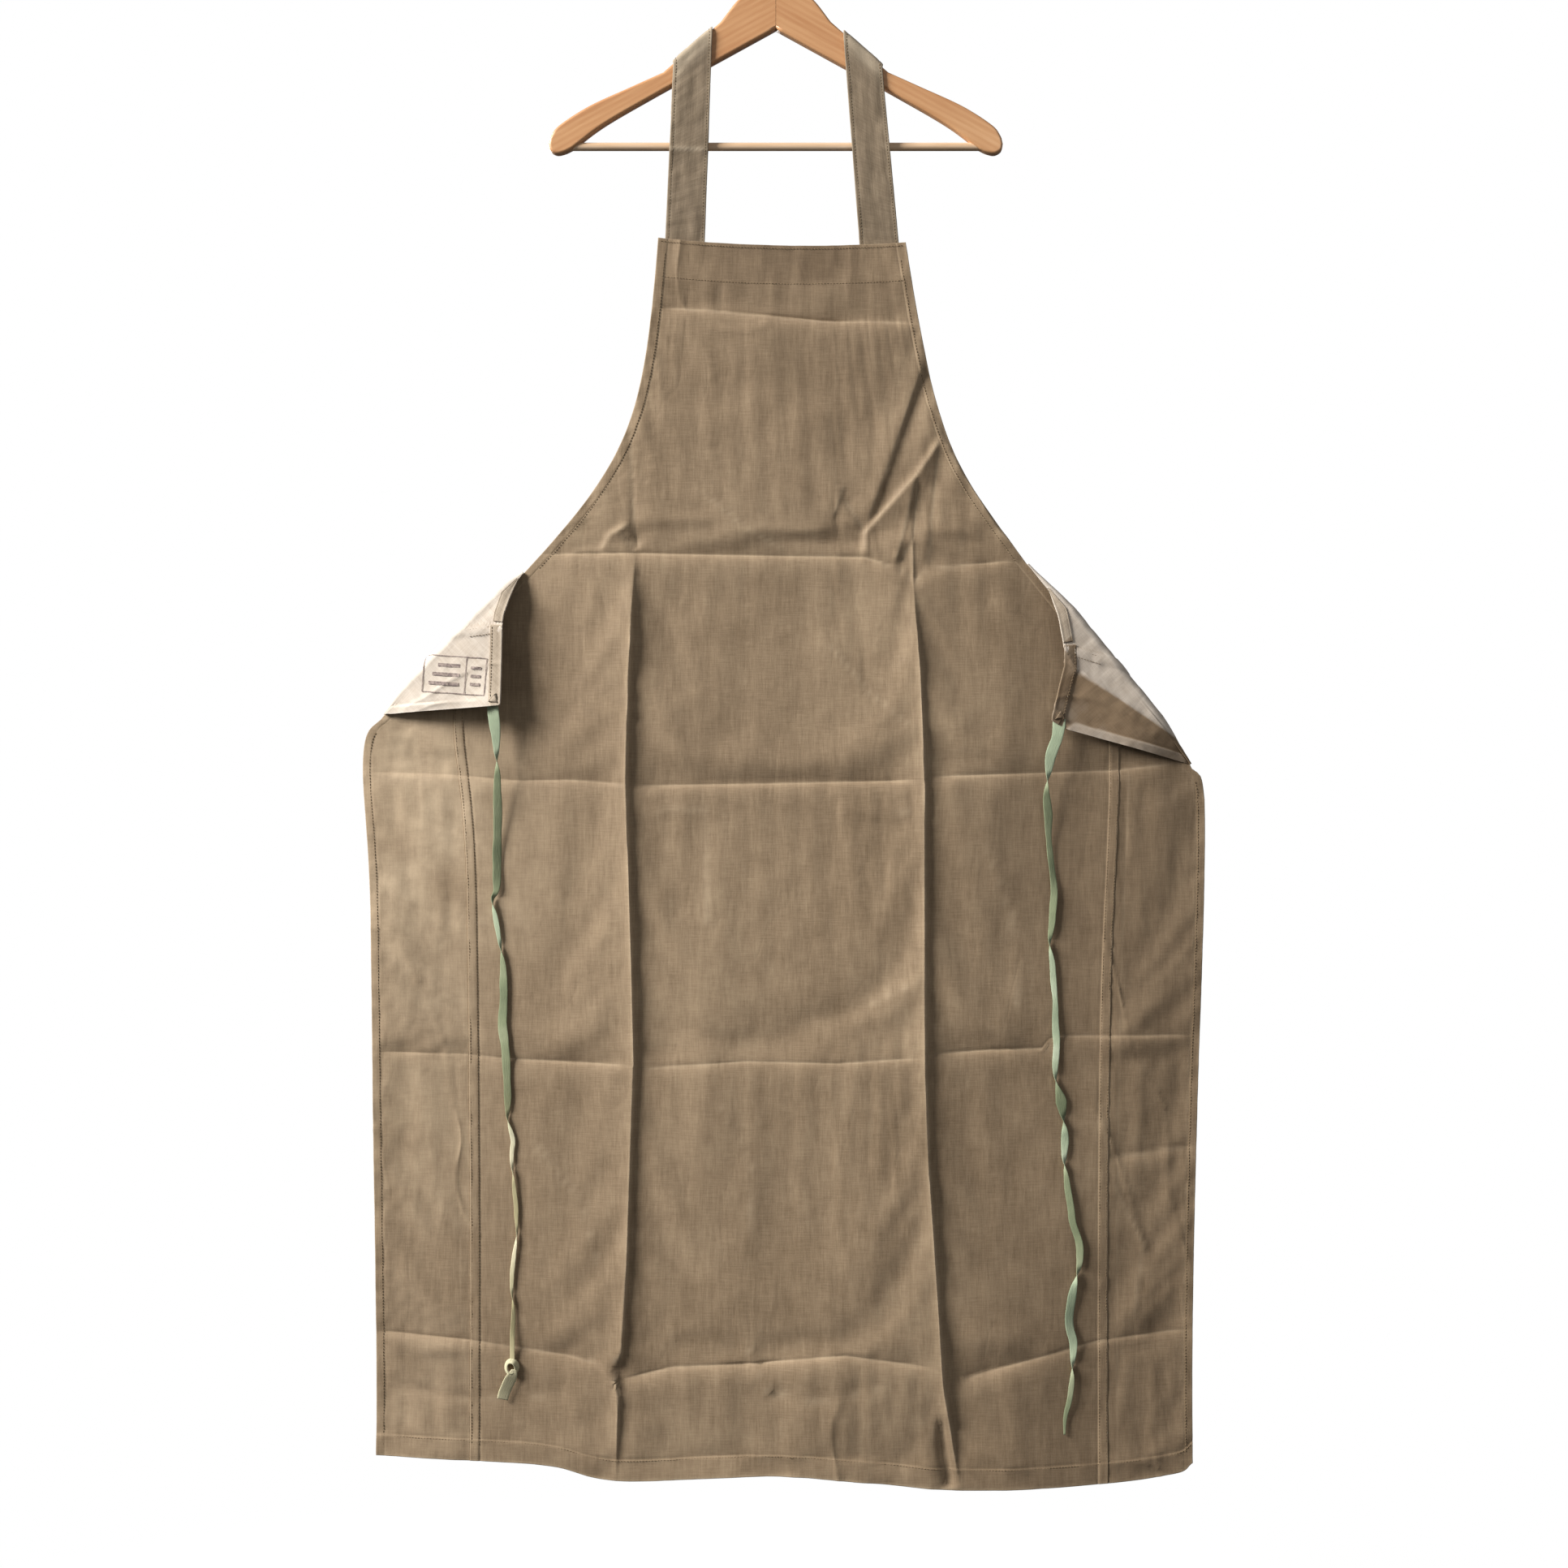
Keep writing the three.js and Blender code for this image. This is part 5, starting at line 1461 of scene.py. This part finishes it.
bib_rows = np.linspace(-LEFT["bib"][0] + 2, RIGHT["bib"][0] - 2, 60)
runs = [cloth_run(np.stack([bib_rows, bib_z(bib_rows) - 3.0], 1), 0.5),
        cloth_run(np.stack([bib_rows, bib_z(bib_rows) - FACING_DEPTH + 3], 1), 0.1)]
for hem_from, hem_to, count in ((-390, -LEFT["seam_hem"] - 2, 40),
                                (-LEFT["seam_hem"] + 2, RIGHT["seam_hem"] - 2, 160),
                                (RIGHT["seam_hem"] + 2, 407, 40)):
    rows = np.linspace(hem_from, hem_to, count)
    runs.append(cloth_run(np.stack([rows, hem_z(rows) + HEM_DEPTH - 1.4], 1), 0.25))
for side in (LEFT, RIGHT):
    hole = side["armhole"][side["armhole"][:, 1] > side["top"][1] + 4][1:]
    seam = np.array([p for p in side["seam"] if p[1] > hem_z(p[0]) + 2])
    edge = np.array([p for p in side["edge"] if hem_z(p[0]) + 2 < p[1] < side["fold_end"][1] - 12])
    for line, inset, lift in ((hole, 7.6, 0.4), (seam, SEAM_INSET, 0.45), (seam, 8.6, 0.35), (edge, 7.0, 0.3)):
        runs.append(cloth_run(offset_curve(line, -side["sign"] * inset), lift))
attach(stitch_mesh("apron_stitching", runs), "apron")

for side in (LEFT, RIGHT):
    start = np.array([side["seam_fold"], 2.0])
    end = np.array(side["flap"][SEAM_CORNER])
    seam_way = unit(end - start)
    seam_stitches = np.linspace(0, 1, 14)[:, None] * (end - start) + start
    lines = [(seam_stitches + np.array([seam_way[1], -seam_way[0]]) * inset, CLOTH / 2 + 0.35)
             for inset in (SEAM_INSET, SEAM_WIDTH - 1)]
    free_edge = edge_line(side, side["flap"][SEAM_CORNER][0] + 2, side["flap"][-2][0] + 4, 50)
    lines.append((offset_curve(free_edge, -10.2), CLOTH / 2 + 1.1))
    forward = fold_frame(side)[-1]
    flap_runs = []
    for line, lift in lines:
        line = line[line[:, 1] > 1]
        points = flap_surface(side, line[:, 0], line[:, 1], lift + 0.35) * MM
        flap_runs.append((points, np.tile(forward, (len(points), 1))))
    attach(stitch_mesh("%s_flap_stitching" % side["name"], flap_runs), "%s_flap" % side["name"])

strap_runs = []
strap_normals = outward(strap_front, len(strap_t) // 2)
for share in (STRAP_STITCH / STRAP_HALF - 1, 1 - STRAP_STITCH / STRAP_HALF):
    at, up = (np.array([resampled(share, strap_t, row) for row in grid])
              for grid in (strap_front, strap_normals))
    strap_runs.append((at + up * 0.1 * MM, up))
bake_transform(stitch_mesh("strap_stitching", strap_runs))

# ---------- floor and light ----------

FLOOR_Z, FLOOR_SIZE, FLOOR_FROM, FLOOR_TO = -2.3, 9.0, 0.9, 2.4
FLOOR_HUSH = 0.93  # how little of its light the floor throws back up at the cloth
AMBIENT = 0.16  # the white background's strength, where the camera doesn't see it
floor = new_mesh("floor", [(x * FLOOR_SIZE, y * FLOOR_SIZE, FLOOR_Z)
                           for x, y in ((-1, -1), (1, -1), (1, 1), (-1, 1))], [(0, 1, 2, 3)])
floor_material, floor_tree, floor_shader = nodes_of("pale_floor")
floor_shader.inputs["Base Color"].default_value = (0.85, 0.85, 0.84, 1)
floor_shader.inputs["Roughness"].default_value = 0.9


def fade_floor(tree, shader):
    """The floor runs out into the plain background, and lights the cloth from below only a little."""
    reach = tree.nodes.new("ShaderNodeVectorMath")
    reach.operation = "DISTANCE"
    tree.links.new(place(tree), reach.inputs[0])
    reach.inputs[1].default_value = (0, 0, FLOOR_Z)
    far = tree.nodes.new("ShaderNodeMapRange")
    far.interpolation_type = "SMOOTHSTEP"
    far.inputs["From Min"].default_value = FLOOR_FROM
    far.inputs["From Max"].default_value = FLOOR_TO
    tree.links.new(reach.outputs["Value"], far.inputs["Value"])
    camera_ray = tree.nodes.new("ShaderNodeLightPath").outputs["Is Camera Ray"]
    other = math_node(tree, "MULTIPLY", math_node(tree, "SUBTRACT", 1.0, camera_ray), FLOOR_HUSH)
    seen = math_node(tree, "ADD", math_node(tree, "MULTIPLY", far.outputs[0], camera_ray), other)
    glow = tree.nodes.new("ShaderNodeEmission")
    tree.links.new(camera_ray, glow.inputs["Strength"])
    join_both = tree.nodes.new("ShaderNodeMixShader")
    tree.links.new(seen, join_both.inputs[0])
    tree.links.new(shader.outputs[0], join_both.inputs[1])
    tree.links.new(glow.outputs[0], join_both.inputs[2])
    output = next(n for n in tree.nodes if n.type == "OUTPUT_MATERIAL")
    tree.links.new(join_both.outputs[0], output.inputs["Surface"])


fade_floor(floor_tree, floor_shader)
floor.data.materials.append(floor_material)

world = bpy.data.worlds.new("studio")
scene.world = world
world.use_nodes = True
sky = world.node_tree
sky.nodes["Background"].inputs["Color"].default_value = (1, 1, 1, 1)
strength = sky.nodes.new("ShaderNodeMapRange")
strength.inputs["To Min"].default_value = AMBIENT
strength.inputs["To Max"].default_value = 1.0
sky.links.new(sky.nodes.new("ShaderNodeLightPath").outputs["Is Camera Ray"], strength.inputs["Value"])
sky.links.new(strength.outputs[0], sky.nodes["Background"].inputs["Strength"])


def area_light(name, location, target, size, watts, colour):
    data = bpy.data.lights.new(name, "AREA")
    data.size = size
    data.energy = watts
    data.color = colour
    light = bpy.data.objects.new(name, data)
    light.visible_camera = False
    light.location = location
    light.rotation_euler = (Vector(target) - Vector(location)).to_track_quat("-Z", "Y").to_euler()
    scene.collection.objects.link(light)


area_light("key", (-5.4, -2.3, 2.4), (0.0, 0, -0.8), 2.5, 1010, (1, 0.985, 0.96))
area_light("fill", (1.8, -2.8, 0.4), (0, 0, -0.9), 2.2, 16, (0.97, 0.98, 1))
area_light("back", (-2.6, 3.6, 0.6), (0, 0, -0.8), 2.4, 190, (1, 0.97, 0.93))
